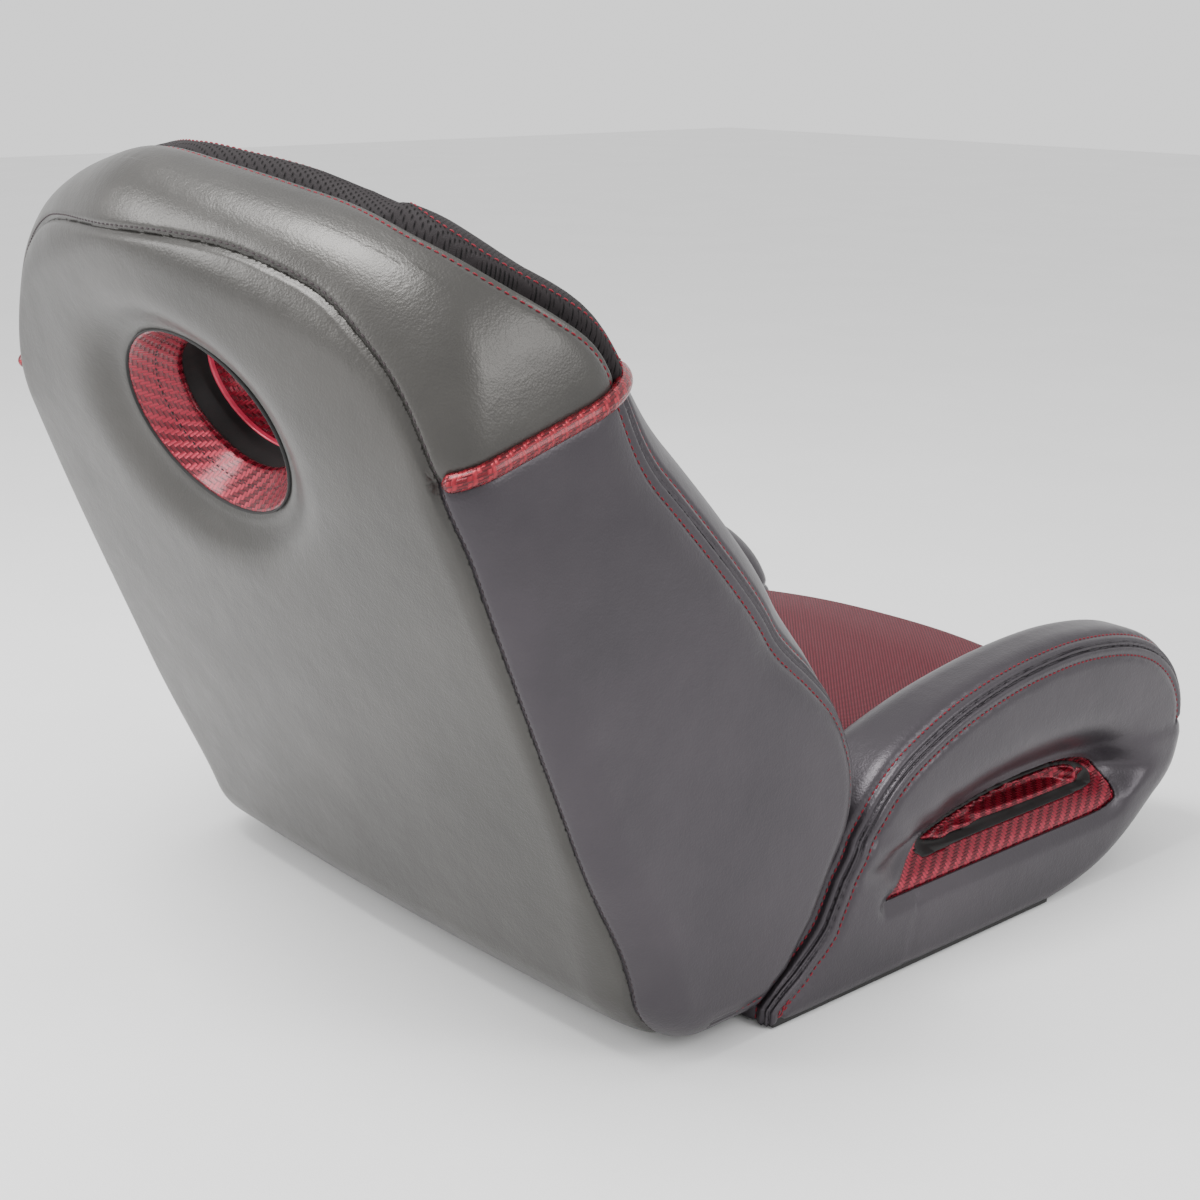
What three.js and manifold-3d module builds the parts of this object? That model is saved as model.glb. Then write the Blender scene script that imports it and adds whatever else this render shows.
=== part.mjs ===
// Upholstered bucket seat with a backrest that folds forward on side hinges.
// Millimetres. +Z up, the seat faces -Y, X runs across. The origin is the centre of the
// underside of the base pan, where the seat is bolted down.
import * as THREE from 'three';
import { mergeVertices } from 'three/addons/utils/BufferGeometryUtils.js';
import Module from 'manifold-3d';

const wasm = await Module();
wasm.setup();

// ---- driving dimensions -------------------------------------------------------------
const HALF_WIDTH = 300;          // outside of the side panels
const GAP = 0.4;                 // play between neighbouring pieces
const LEAN = THREE.MathUtils.degToRad(21.4);   // backrest lean from vertical
const BACK_ORIGIN = [351, 119];  // y, z of the point s = 0, o = 0 on the rear plane

const PIVOT = [194, 163];        // y, z of the fold hinge
const LOBE_RADIUS = 90;          // lower front of the backrest, round the hinge
const NEST_RADIUS = 98;          // rear end of the seat wings, round the hinge

const TOP_S = 515;               // top of the backrest along the lean
const BAND_HEIGHT = 30;          // top band between the rear seam and the top
const CROWN_LOW = 10;            // how far the rear face falls away at its sides, low down
const CROWN_HIGH = 60;           // and across the shoulders
const SIDE_PANEL_THICKNESS = 24;
const REAR_PAD = 20;             // thickness of the padded rear panel
const BOARD = 11.6;              // back board thickness
const FRAME_LAYER = 28;          // space between board and front pads
const FRONT_PADS_O = -(REAR_PAD + BOARD + FRAME_LAYER + 2 * GAP);
const BOLSTER_INNER_X = 199;

const HOLE_S = 330;              // centre of the pass-through along the lean
const HOLE_HALF_WIDTH = 96;
const HOLE_HALF_HEIGHT = 70;
const INSERT_BOTTOM_S = 238;     // lower edge of the shoulder insert between the bolsters
const LINER_WALL = 5;

const WELT_RADIUS = 6;
const WELT_GROOVE = WELT_RADIUS + 0.8;   // half width of the gap the welt fills
const WELT_REAR = [479, 442];    // y, z where the welt leaves the rear seam
const WELT_FRONT = [332, 479];   // y, z where it turns round the bolster

const PAN_HEIGHT = 40;
const PAN_WALL = 6;
const TRIM_HEIGHT = 6;
const CUSHION_BOTTOM = 110;
const CUSHION_TOP = 142;
const SEAT_HALF_WIDTH = 191;     // half width of the cushion between the hinges
const WING_INNER_X = 218;
const WING_SIDE_X = 262;         // inside of the outer wing panel
const WING_TOP_DEPTH = 30;

const SLOT_WALL = 4;
const TUBE_RADIUS = 11;
const TUBE_X = 207;
const TUBE_WALL = 2;
const CROSSBAR_RADIUS = 9;
const PLATE = 5;                 // hinge plate thickness
const BRACKET_X = 199;
const ARM_X = 204.6;
const BOLT_RADIUS = 6;
const MOUNT_SPACING = [305, 127];   // bolt pattern across and along the seat

// ---- colours and finishes -----------------------------------------------------------
const finish = (color, roughness, metalness = 0) => ({ color, roughness, metalness });
const GREY_VINYL = finish(0x6f6c70, 0.42, 0.15);
const RED_VINYL = finish(0x6e2431, 0.6);
const TWILL = finish(0x8c2436, 0.3, 0.4);
const MESH = finish(0x161416, 0.85);
const BLACK = finish(0x101010, 0.6);
const FOAM = finish(0xb9b29c, 0.95);
const PLYWOOD = finish(0x9c7a4e, 0.8);
const STEEL = finish(0x8d9196, 0.35, 0.9);
const BLACK_STEEL = finish(0x202224, 0.45, 0.7);
const NYLON = finish(0xd8d6cc, 0.5);

// ---- geometry helpers ---------------------------------------------------------------
const seat = new THREE.Group();

function toSolid(geometry) {
  const bare = geometry.clone();
  bare.deleteAttribute('normal');
  bare.deleteAttribute('uv');
  const merged = mergeVertices(bare, 1e-3);
  return new wasm.Manifold(new wasm.Mesh({
    numProp: 3,
    vertProperties: new Float32Array(merged.attributes.position.array),
    triVerts: new Uint32Array(merged.index.array),
  }));
}

function toGeometry(solid) {
  const mesh = solid.getMesh();
  const geometry = new THREE.BufferGeometry();
  geometry.setAttribute('position', new THREE.BufferAttribute(mesh.vertProperties, 3));
  geometry.setIndex(new THREE.BufferAttribute(mesh.triVerts, 1));
  geometry.computeVertexNormals();
  return geometry;
}

function addPiece(name, shape, look) {
  const geometry = shape.isBufferGeometry ? shape : toGeometry(shape);
  const mesh = new THREE.Mesh(geometry, new THREE.MeshStandardMaterial(look));
  mesh.name = name;
  seat.add(mesh);
}

// Adds the piece and its mirror image about the X = 0 plane. build(side) gets -1 or +1.
function addPair(name, build, look) {
  addPiece(`${name}_right`, build(-1), look);
  addPiece(`${name}_left`, build(1), look);
}

const shapeOf = (points) => new THREE.Shape(points.map(([a, b]) => new THREE.Vector2(a, b)));

// s along the leaning backrest, o out of its rear plane -> [y, z]
function lean(s, o) {
  return [
    BACK_ORIGIN[0] + s * Math.sin(LEAN) + o * Math.cos(LEAN),
    BACK_ORIGIN[1] + s * Math.cos(LEAN) - o * Math.sin(LEAN),
  ];
}

// A (y, z) outline given thickness along X.
function acrossSolid(outline, xA, xB) {
  const shape = outline instanceof THREE.Shape ? outline : shapeOf(outline);
  const geometry = new THREE.ExtrudeGeometry(shape, {
    depth: Math.abs(xB - xA), bevelEnabled: false, curveSegments: 10,
  });
  const basis = new THREE.Matrix4().makeBasis(
    new THREE.Vector3(0, 1, 0), new THREE.Vector3(0, 0, 1), new THREE.Vector3(1, 0, 0));
  geometry.applyMatrix4(basis);
  geometry.translate(Math.min(xA, xB), 0, 0);
  return toSolid(geometry);
}

// An (x, s) outline on the leaning rear plane, from offset oA down to offset oB.
function leaningSolid(shape, oA, oB, curveSegments = 10) {
  const geometry = new THREE.ExtrudeGeometry(shape, {
    depth: oA - oB, bevelEnabled: false, curveSegments,
  });
  const up = new THREE.Vector3(0, Math.sin(LEAN), Math.cos(LEAN));
  const right = new THREE.Vector3(1, 0, 0);
  const basis = new THREE.Matrix4().makeBasis(right, up, right.clone().cross(up));
  geometry.applyMatrix4(basis);
  const [y, z] = lean(0, oA);
  geometry.translate(0, y, z);
  return toSolid(geometry);
}

// An (x, y) outline between two heights.
function uprightSolid(shape, zA, zB) {
  const geometry = new THREE.ExtrudeGeometry(shape, {
    depth: zB - zA, bevelEnabled: false, curveSegments: 8,
  });
  geometry.translate(0, 0, zA);
  return toSolid(geometry);
}

function box(x0, x1, y0, y1, z0, z1) {
  const geometry = new THREE.BoxGeometry(x1 - x0, y1 - y0, z1 - z0);
  geometry.translate((x0 + x1) / 2, (y0 + y1) / 2, (z0 + z1) / 2);
  return toSolid(geometry);
}

function ellipse(halfWidth, halfHeight, s) {
  const shape = new THREE.Shape();
  shape.absellipse(0, s, halfWidth, halfHeight, 0, 2 * Math.PI, false, 0);
  return shape;
}

// A disc or cylinder lying along X.
function axle(radius, y, z, xA, xB, segments = 24) {
  const geometry = new THREE.CylinderGeometry(radius, radius, Math.abs(xB - xA), segments);
  geometry.rotateZ(Math.PI / 2);
  geometry.translate((xA + xB) / 2, y, z);
  return toSolid(geometry);
}

// A bar, or with a bore a tube, of round section along a curve through the points.
function tubeAlong(points, radius, steps, bore = 0) {
  const path = new THREE.CatmullRomCurve3(points.map((p) => new THREE.Vector3(...p)));
  const section = new THREE.Shape();
  section.absellipse(0, 0, radius, radius, 0, 2 * Math.PI, false, 0);
  if (bore > 0) {
    const hollow = new THREE.Path();
    hollow.absellipse(0, 0, bore, bore, 0, 2 * Math.PI, true, 0);
    section.holes.push(hollow);
  }
  return new THREE.ExtrudeGeometry(section, {
    steps, extrudePath: path, curveSegments: 6, bevelEnabled: false,
  });
}

// Points of an arc round the fold hinge, angles in degrees from +Y towards +Z.
function hingeArc(radius, from, to, steps) {
  return Array.from({ length: steps + 1 }, (_, i) => {
    const angle = THREE.MathUtils.degToRad(from + (to - from) * i / steps);
    return [PIVOT[0] + radius * Math.cos(angle), PIVOT[1] + radius * Math.sin(angle)];
  });
}

// ---- backrest outlines --------------------------------------------------------------
// Outline of the backrest seen square from behind, drawn inset by a margin.
function backOutline(inset, topInset = inset) {
  const w = HALF_WIDTH - inset;
  const top = TOP_S - topInset;
  const shoulder = 432 - 0.5 * topInset;
  const shape = new THREE.Shape();
  shape.moveTo(-w, -220);
  shape.lineTo(w, -220);
  shape.lineTo(w, 320);
  shape.bezierCurveTo(w, shoulder, 0.62 * w, top - 4, 0, top);
  shape.bezierCurveTo(-0.62 * w, top - 4, -w, shoulder, -w, 320);
  return shape;
}

// How far the rear face lies forward of the rear plane: a shallow barrel that deepens
// over the shoulders.
function crown(x, s) {
  const rise = THREE.MathUtils.smoothstep(s, 310, 470);
  return THREE.MathUtils.lerp(CROWN_LOW, CROWN_HIGH, rise) * (x / 280) ** 2;
}

// Everything forward of the crowned rear face, or of the same face shifted by o.
function forwardOf(o) {
  const [width, height, depth] = [900, 900, 500];
  const middleS = 200;
  const geometry = new THREE.BoxGeometry(width, height, depth, 18, 14, 1);
  const position = geometry.attributes.position;
  for (let i = 0; i < position.count; i += 1) {
    const x = position.getX(i);
    const s = position.getY(i) + middleS;
    const reach = position.getZ(i) < 0 ? crown(x, s) - o : depth;
    const [y, z] = lean(s, -reach);
    position.setXYZ(i, x, y, z);
  }
  return toSolid(geometry);
}

const ROUNDED_TOP = [
  [455, 0], [488, -6], [507, -24], [TOP_S, -50], [508, -80], [490, -100],
].map(([s, o]) => lean(s, o));

const ROUNDED_BOTTOM = [
  [250, 9], [217, 9], [191, 21], [168, 36], [142, 68], [125, 97],
];
const REAR_BOTTOM = [[-60, -2], [-98, -9], [-120, -22], [-132, -37]].map(([s, o]) => lean(s, o));

// Outline of the side panels, whose front edge is the bolster seam.
const SIDE_PROFILE = [
  ...REAR_BOTTOM.slice().reverse(),
  lean(-30, 0),
  ...ROUNDED_TOP,
  lean(430, -118),
  lean(344, -131),
  lean(281, -141),
  ...hingeArc(LOBE_RADIUS, 132, 212, 8),
  ...ROUNDED_BOTTOM.slice().reverse(),
];

// Outline through the crown of the bolsters, which stand proud of that seam.
const CROWN_PROFILE = [
  ...REAR_BOTTOM.slice().reverse(),
  lean(-30, 0),
  ...ROUNDED_TOP,
  lean(468, -108),
  lean(419, -140),
  lean(369, -162),
  lean(282, -188),
  lean(182, -216),
  lean(92, -242),
  ...hingeArc(LOBE_RADIUS, 150, 212, 6),
  ...ROUNDED_BOTTOM.slice().reverse(),
];

// Front of the middle of the back: lumbar, shoulders and head end.
const CENTRE_FRONT = [
  [-62, -92], [60, -106], [150, -122], [250, -136], [340, -138], [420, -120], [490, -98],
];

const rearFace = forwardOf(0);
const frontPadFace = forwardOf(FRONT_PADS_O);
const backShell = acrossSolid(SIDE_PROFILE, -HALF_WIDTH, HALF_WIDTH).intersect(rearFace);
const crownShell = acrossSolid(CROWN_PROFILE, -HALF_WIDTH, HALF_WIDTH).intersect(rearFace);
const outerPrism = leaningSolid(backOutline(0), 20, -400);
const innerPrism = leaningSolid(backOutline(SIDE_PANEL_THICKNESS, BAND_HEIGHT), 20, -400);
const innerPrismTight = leaningSolid(
  backOutline(SIDE_PANEL_THICKNESS + GAP, BAND_HEIGHT + GAP), 20, -400);
const holeTool = (margin, oA, oB) => leaningSolid(
  ellipse(HOLE_HALF_WIDTH + margin, HOLE_HALF_HEIGHT + margin, HOLE_S), oA, oB, 16);

// Everything above, or below, the plane of the welt.
const WELT_SLOPE = [WELT_FRONT[0] - WELT_REAR[0], WELT_FRONT[1] - WELT_REAR[1]];
function weltHalf(above, margin) {
  const length = Math.hypot(...WELT_SLOPE);
  const along = WELT_SLOPE.map((v) => v / length);
  const normal = [along[1], -along[0]];
  const at = (t, h) => [
    WELT_REAR[0] + along[0] * t + normal[0] * h,
    WELT_REAR[1] + along[1] * t + normal[1] * h,
  ];
  const sign = above ? 1 : -1;
  return acrossSolid(
    [at(-300, sign * margin), at(600, sign * margin), at(600, sign * 700), at(-300, sign * 700)],
    -400, 400);
}

// ---- backrest pieces ----------------------------------------------------------------
const layer = (oA, oB) => forwardOf(oA).subtract(forwardOf(oB));
const ROLL_TOP_S = -96;
const bottomCut = leaningSolid(
  shapeOf([[-400, ROLL_TOP_S], [400, ROLL_TOP_S], [400, 600], [-400, 600]]), 20, -400);

addPiece('back_panel',
  layer(0, -REAR_PAD)
    .intersect(innerPrismTight)
    .intersect(backShell)
    .intersect(bottomCut)
    .subtract(holeTool(GAP, 40, -60)),
  GREY_VINYL);

const boardO = -(REAR_PAD + GAP);
const boardPrism = leaningSolid(backOutline(SIDE_PANEL_THICKNESS + 6, BAND_HEIGHT + 6), 20, -400);
addPiece('back_board',
  layer(boardO, boardO - BOARD)
    .intersect(boardPrism)
    .intersect(backShell)
    .intersect(bottomCut)
    .subtract(holeTool(GAP, 40, -60)),
  PLYWOOD);

const frameFace = boardO - BOARD - GAP;
const TUBE_CLEARANCE = 2.4;      // the tube bows forward with the board and must clear it
const TUBE_O = frameFace - TUBE_RADIUS - TUBE_CLEARANCE;
const hoopPoints = [
  [-TUBE_X, 20], [-TUBE_X, 120], [-TUBE_X, 300], [-192, 372], [-125, 420],
  [0, 438], [125, 420], [192, 372], [TUBE_X, 300], [TUBE_X, 120], [TUBE_X, 20],
].map(([x, s]) => [x, ...lean(s, TUBE_O - crown(x, s))]);
addPiece('frame_hoop', toSolid(tubeAlong(hoopPoints, TUBE_RADIUS, 34, TUBE_RADIUS - TUBE_WALL)), BLACK_STEEL);

for (const [name, s] of [['frame_crossbar_lower', 70], ['frame_crossbar_upper', 232]]) {
  const reach = TUBE_X - TUBE_RADIUS - GAP - 0.6;
  const centre = lean(s, TUBE_O - crown(TUBE_X, s));
  addPiece(name, axle(CROSSBAR_RADIUS, ...centre, -reach, reach, 16)
    .subtract(axle(CROSSBAR_RADIUS - TUBE_WALL, ...centre, -400, 400, 16)), BLACK_STEEL);
}

const ring = outerPrism.subtract(innerPrism);
addPiece('top_band', ring.intersect(backShell).intersect(weltHalf(true, WELT_GROOVE)), GREY_VINYL);
addPair('side_panel', (side) => backShell
  .intersect(acrossSolid(SIDE_PROFILE, side * (HALF_WIDTH - SIDE_PANEL_THICKNESS), side * HALF_WIDTH))
  .intersect(outerPrism)
  .intersect(weltHalf(false, WELT_GROOVE)), GREY_VINYL);

const frameSpace = leaningSolid(
  shapeOf([[-400, ROLL_TOP_S - GAP], [400, ROLL_TOP_S - GAP], [400, 600], [-400, 600]]), 60, -400)
  .subtract(frontPadFace);
const bay = (side) => acrossSolid(
  [lean(-150, -300), lean(-150, -40), lean(135, -40), lean(135, -112), lean(30, -215), lean(-20, -300)],
  side * (BOLSTER_INNER_X - 1), side * 218);
addPair('bolster', (side) => crownShell
  .intersect(innerPrismTight)
  .intersect(box(...(side < 0 ? [-400, -BOLSTER_INNER_X] : [BOLSTER_INNER_X, 400]), -200, 700, 0, 800))
  .subtract(frameSpace)
  .intersect(weltHalf(false, WELT_GROOVE))
  .subtract(bay(side)), GREY_VINYL);

const centreFront = acrossSolid(
  [...CENTRE_FRONT.map(([s, o]) => lean(s, o)), lean(490, 0), lean(-62, 0)], -400, 400);
const lumbarX = BOLSTER_INNER_X - 4;
const betweenBolsters = (sA, sB) => leaningSolid(
  shapeOf([[-lumbarX, sA], [lumbarX, sA], [lumbarX, sB], [-lumbarX, sB]]), 40, -400)
  .intersect(frontPadFace);
addPiece('lumbar_pad', centreFront
  .intersect(betweenBolsters(-100, INSERT_BOTTOM_S - GAP)), MESH);

// The shoulder insert dishes in between two swept shoulders and carries the pass-through.
const insertZone = weltHalf(true, WELT_GROOVE).add(betweenBolsters(INSERT_BOTTOM_S, 600));
addPiece('shoulder_insert', crownShell
  .intersect(innerPrismTight)
  .intersect(frontPadFace)
  .intersect(insertZone)
  .subtract(box(-lumbarX, lumbarX, -200, 700, 0, 800).subtract(centreFront))
  .subtract(holeTool(GAP, 40, -300)), MESH);

addPiece('bottom_roll', acrossSolid(
  [lean(ROLL_TOP_S - GAP, -9), ...REAR_BOTTOM.slice(2), [250, 9], [222, 9], lean(ROLL_TOP_S - GAP, -88)],
  -lumbarX, lumbarX), GREY_VINYL);

// The welt runs over the side and turns in round the bolster, always on one sloping plane.
const weltPoints = [[291, 482], [299, 455], [301, 420], [300, 380], [295, 345], [281, 318], [258, 296]]
  .map(([x, y]) => [x, y, WELT_REAR[1] + (y - WELT_REAR[0]) * WELT_SLOPE[1] / WELT_SLOPE[0]]);
addPair('welt', (side) => toSolid(tubeAlong(
  weltPoints.map(([x, y, z]) => [side * x, y, z]), WELT_RADIUS, 24)), TWILL);

// Pass-through: a wide ring behind, a black sleeve, a ring in front.
const tunnelFace = -136;
const ringAt = (outer, inner, oA, oB) => holeTool(outer, oA, oB)
  .subtract(holeTool(inner, oA + 5, oB - 5));
addPiece('rear_bezel', ringAt(0, -LINER_WALL, -8, -40), TWILL);
addPiece('tunnel_liner', ringAt(0, -LINER_WALL, -40 - GAP, -72), BLACK);
addPiece('front_bezel', ringAt(0, -LINER_WALL - 4, -72 - GAP, tunnelFace), TWILL);

// ---- fold hinge ---------------------------------------------------------------------
const armOutline = new THREE.Shape();
{
  const foot = hingeArc(22, 150, 330, 8);
  const top = lean(118, TUBE_O - 8);
  const rear = lean(118, TUBE_O + 8);
  armOutline.setFromPoints([...foot, lean(14, TUBE_O + 8), rear, top, lean(40, TUBE_O - 26)]
    .map(([y, z]) => new THREE.Vector2(y, z)));
}
const armBore = axle(8, ...PIVOT, -300, 300);
addPair('hinge_arm', (side) => acrossSolid(armOutline, side * ARM_X, side * (ARM_X + PLATE))
  .subtract(armBore)
  .intersect(forwardOf(frameFace))
  .subtract(toSolid(tubeAlong(hoopPoints, TUBE_RADIUS + GAP, 34))), STEEL);
addPair('hinge_bush', (side) => axle(8 - GAP, ...PIVOT, side * ARM_X, side * (ARM_X + PLATE))
  .subtract(axle(BOLT_RADIUS + GAP, ...PIVOT, -300, 300)), NYLON);

const STOP_PIN = [240, 143.5];
const STOP_PIN_RADIUS = 6;
const bracketOutline = [
  ...hingeArc(20, 60, 160, 6), [150, 118], [112, 74], [60, PAN_HEIGHT + GAP],
  [204, PAN_HEIGHT + GAP], [214, 100], [248, 128], [254, 154],
];
const bracketBore = axle(BOLT_RADIUS + GAP, ...PIVOT, -300, 300);
const bracketFoot = (side) => box(
  ...(side < 0 ? [-(BRACKET_X + PLATE), -(BRACKET_X - 40)] : [BRACKET_X - 40, BRACKET_X + PLATE]),
  62, 200, PAN_HEIGHT + GAP, PAN_HEIGHT + GAP + PLATE);
addPair('hinge_bracket', (side) => acrossSolid(
  bracketOutline, side * BRACKET_X, side * (BRACKET_X + PLATE))
  .add(bracketFoot(side))
  .subtract(bracketBore)
  .subtract(axle(STOP_PIN_RADIUS + GAP, ...STOP_PIN, -300, 300)), BLACK_STEEL);
addPair('stop_pin', (side) => axle(
  STOP_PIN_RADIUS, ...STOP_PIN, side * BRACKET_X, side * (ARM_X + PLATE), 16), STEEL);

const boltInnerX = BRACKET_X - 7;
const boltHeadX = ARM_X + PLATE + 2 + GAP;
addPair('pivot_bolt', (side) => axle(BOLT_RADIUS, ...PIVOT, side * boltInnerX, side * (boltHeadX + 4))
  .add(axle(10, ...PIVOT, side * boltHeadX, side * (boltHeadX + 4.6), 6)), STEEL);
addPair('pivot_nut', (side) => axle(10, ...PIVOT, side * boltInnerX, side * (BRACKET_X - GAP), 6)
  .subtract(axle(BOLT_RADIUS + GAP, ...PIVOT, -300, 300)), STEEL);
addPair('pivot_washer', (side) => axle(
  11, ...PIVOT, side * (ARM_X + PLATE + GAP), side * (ARM_X + PLATE + 2))
  .subtract(bracketBore), STEEL);

// ---- base outlines ------------------------------------------------------------------
const WING_FRONT = [
  [-142, 2], [-176, 8], [-211, 21], [-268, 48], [-301, 72], [-317, 98], [-318, 127], [-308, 149],
];
const WING_CREST = [
  [-281, 174], [-254, 190], [-226, 197], [-170, 202], [-116, 201], [-65, 197], [-10, 185],
  [44, 165], [74, 148], [96, 129],
];
const WING_REAR = [
  ...hingeArc(NEST_RADIUS, 204, 222, 3), [140, 66], [166, 34], [189, 12],
];
const WING_PROFILE = [[190, 2], ...WING_FRONT, ...WING_CREST, ...WING_REAR];
const wingProfileFrom = (z) => acrossSolid(WING_PROFILE, -400, 400)
  .intersect(box(-400, 400, -400, 400, z, 400));

// Finger slot in the side of the wing: pointed at the rear, round at the front.
function slotShape(margin) {
  const m = margin;
  const shape = new THREE.Shape();
  shape.moveTo(66 + 1.6 * m, 61 - 0.5 * m);
  shape.bezierCurveTo(10, 108 + m, -60, 118 + m, -150, 117 + m);
  shape.bezierCurveTo(-205, 115 + m, -236 - m, 98 + m, -234 - m, 76);
  shape.bezierCurveTo(-232 - m, 60 - m, -215, 60 - m, -180, 60 - m);
  shape.lineTo(20, 60 - m);
  shape.closePath();
  return shape;
}
const slotTool = (margin, xA, xB) => acrossSolid(slotShape(margin), xA, xB);

// ---- base pieces --------------------------------------------------------------------
const panOutline = [
  [196, 0], [-140, 0], [-176, 8], [-211, 21], [-250, PAN_HEIGHT], [212, PAN_HEIGHT],
];
const panHalf = WING_SIDE_X - GAP;
const panBlock = acrossSolid(panOutline, -panHalf, panHalf)
  .intersect(box(-400, 400, -400, 400, 0, 400))
  .subtract(crownBay());
function crownBay() {
  return acrossSolid(
    [[141, 60], [168, 31], [191, 16], [217, 4], [330, 4], [330, 60]], -400, -SEAT_HALF_WIDTH)
    .add(acrossSolid(
      [[141, 60], [168, 31], [191, 16], [217, 4], [330, 4], [330, 60]], SEAT_HALF_WIDTH, 400));
}
let pan = panBlock;
const ribX = [-250, -170, -90, -8, 72, 152, 232];
for (let i = 0; i < 6; i += 1) {
  const x0 = ribX[i] + PAN_WALL;
  const x1 = ribX[i + 1];
  pan = pan
    .subtract(box(x0, x1, -190 + PAN_WALL, -3, 24, 60))
    .subtract(box(x0, x1, 3, 130, 12, 60));
}
const mountHoles = [-1, 1].flatMap((i) => [-1, 1].map((j) => [
  i * MOUNT_SPACING[0] / 2, j * MOUNT_SPACING[1] / 2]));
const upright = (radius, x, y, zA, zB, segments = 20) => {
  const geometry = new THREE.CylinderGeometry(radius, radius, zB - zA, segments);
  geometry.rotateX(Math.PI / 2);
  geometry.translate(x, y, (zA + zB) / 2);
  return toSolid(geometry);
};
for (const [x, y] of mountHoles) {
  pan = pan.add(upright(17, x, y, 1, PAN_HEIGHT - 4)).subtract(upright(8 + GAP, x, y, -5, 60));
}
addPiece('base_pan', pan, BLACK);
mountHoles.forEach(([x, y], i) => {
  addPiece(`threaded_insert_${i + 1}`,
    upright(8, x, y, 1, PAN_HEIGHT - 6).subtract(upright(4, x, y, -5, 60)), STEEL);
});

const foamFront = -262;
addPiece('base_foam', acrossSolid(
  [[foamFront, 60], [-248, PAN_HEIGHT + GAP], [58, PAN_HEIGHT + GAP], [58, 48], [206, 48],
    [234, CUSHION_BOTTOM - GAP], [foamFront, CUSHION_BOTTOM - GAP]],
  -SEAT_HALF_WIDTH, SEAT_HALF_WIDTH), FOAM);

const cushionOutline = new THREE.Shape();
cushionOutline.moveTo(-SEAT_HALF_WIDTH, 236);
cushionOutline.lineTo(-SEAT_HALF_WIDTH, -240);
cushionOutline.quadraticCurveTo(-SEAT_HALF_WIDTH, -292, -130, -294);
cushionOutline.quadraticCurveTo(0, -304, 130, -294);
cushionOutline.quadraticCurveTo(SEAT_HALF_WIDTH, -292, SEAT_HALF_WIDTH, -240);
cushionOutline.lineTo(SEAT_HALF_WIDTH, 236);
addPiece('seat_cushion', uprightSolid(cushionOutline, CUSHION_BOTTOM, CUSHION_TOP), RED_VINYL);

addPiece('front_panel', acrossSolid(
  [[-251, PAN_HEIGHT + GAP], [-262.4, 60], [foamFront - GAP, CUSHION_BOTTOM - GAP], [-308, CUSHION_BOTTOM - GAP],
    [-317, 98], [-301, 72], [-268, 48]], -SEAT_HALF_WIDTH, SEAT_HALF_WIDTH)
  .add(acrossSolid([[-305, CUSHION_BOTTOM - 2], [-305, 136], [-316, 127], [-317, 100]],
    -SEAT_HALF_WIDTH, SEAT_HALF_WIDTH)), GREY_VINYL);

const span = (side, a, b) => (side < 0 ? [-b, -a] : [a, b]);
addPair('wing_side', (side) => wingProfileFrom(TRIM_HEIGHT + GAP)
  .intersect(box(...span(side, WING_SIDE_X, HALF_WIDTH), -400, 400, 0, 400))
  .subtract(slotTool(GAP, -400, 400)), GREY_VINYL);

const crestDrop = (dz) => acrossSolid(
  [...WING_FRONT.slice(5), ...WING_CREST, [96, -50], [-317, -50]].map(([y, z]) => [y, z - dz]), -400, 400);
const wingCore = wingProfileFrom(PAN_HEIGHT + GAP).subtract(crownBay());
addPair('wing_top', (side) => wingCore
  .intersect(box(...span(side, WING_INNER_X, WING_SIDE_X - GAP), -400, 400, 0, 400))
  .subtract(crestDrop(WING_TOP_DEPTH)), GREY_VINYL);
addPair('wing_foam', (side) => wingCore
  .intersect(crestDrop(WING_TOP_DEPTH + GAP))
  .intersect(box(...span(side, WING_INNER_X, WING_SIDE_X - GAP), -400, 400, 0, 400))
  .subtract(slotTool(GAP, side * 240, side * 400)), FOAM);

const slotRing = (side, xA, xB, wall) => slotTool(0, side * xA, side * xB)
  .subtract(slotTool(-wall, side * (xA - 5), side * (xB + 5)));
addPair('slot_bezel', (side) => slotRing(side, 282, HALF_WIDTH, SLOT_WALL), TWILL);
addPair('slot_sleeve', (side) => slotRing(side, 264, 282 - GAP, SLOT_WALL + 2), BLACK);
addPair('slot_cup', (side) => slotTool(0, side * 240.4, side * (264 - GAP))
  .subtract(slotTool(-SLOT_WALL - 1, side * 245, side * 300)), TWILL);

// Edge trim that finishes the covers round the foot of the base.
const trimOuter = box(-HALF_WIDTH, HALF_WIDTH, -138, 188, 0, TRIM_HEIGHT);
const trimInner = box(-WING_SIDE_X, WING_SIDE_X, -500, 500, -5, 50);
addPair('edge_trim', (side) => trimOuter.subtract(trimInner)
  .intersect(box(...span(side, 100, 400), -400, 400, -1, 50)), BLACK);

export default seat;
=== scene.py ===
"""Looks of the folding bucket seat: sewn vinyl covers, welts, stitches, bezels and a small studio.

Lengths inside the shape functions are millimetres in the seat's own frame. x runs across,
y back, z up. On the leaning backrest s runs up along it and o points out of its rear plane.
"""

import math

import bmesh
import bpy
import numpy as np
from mathutils import Matrix


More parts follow.
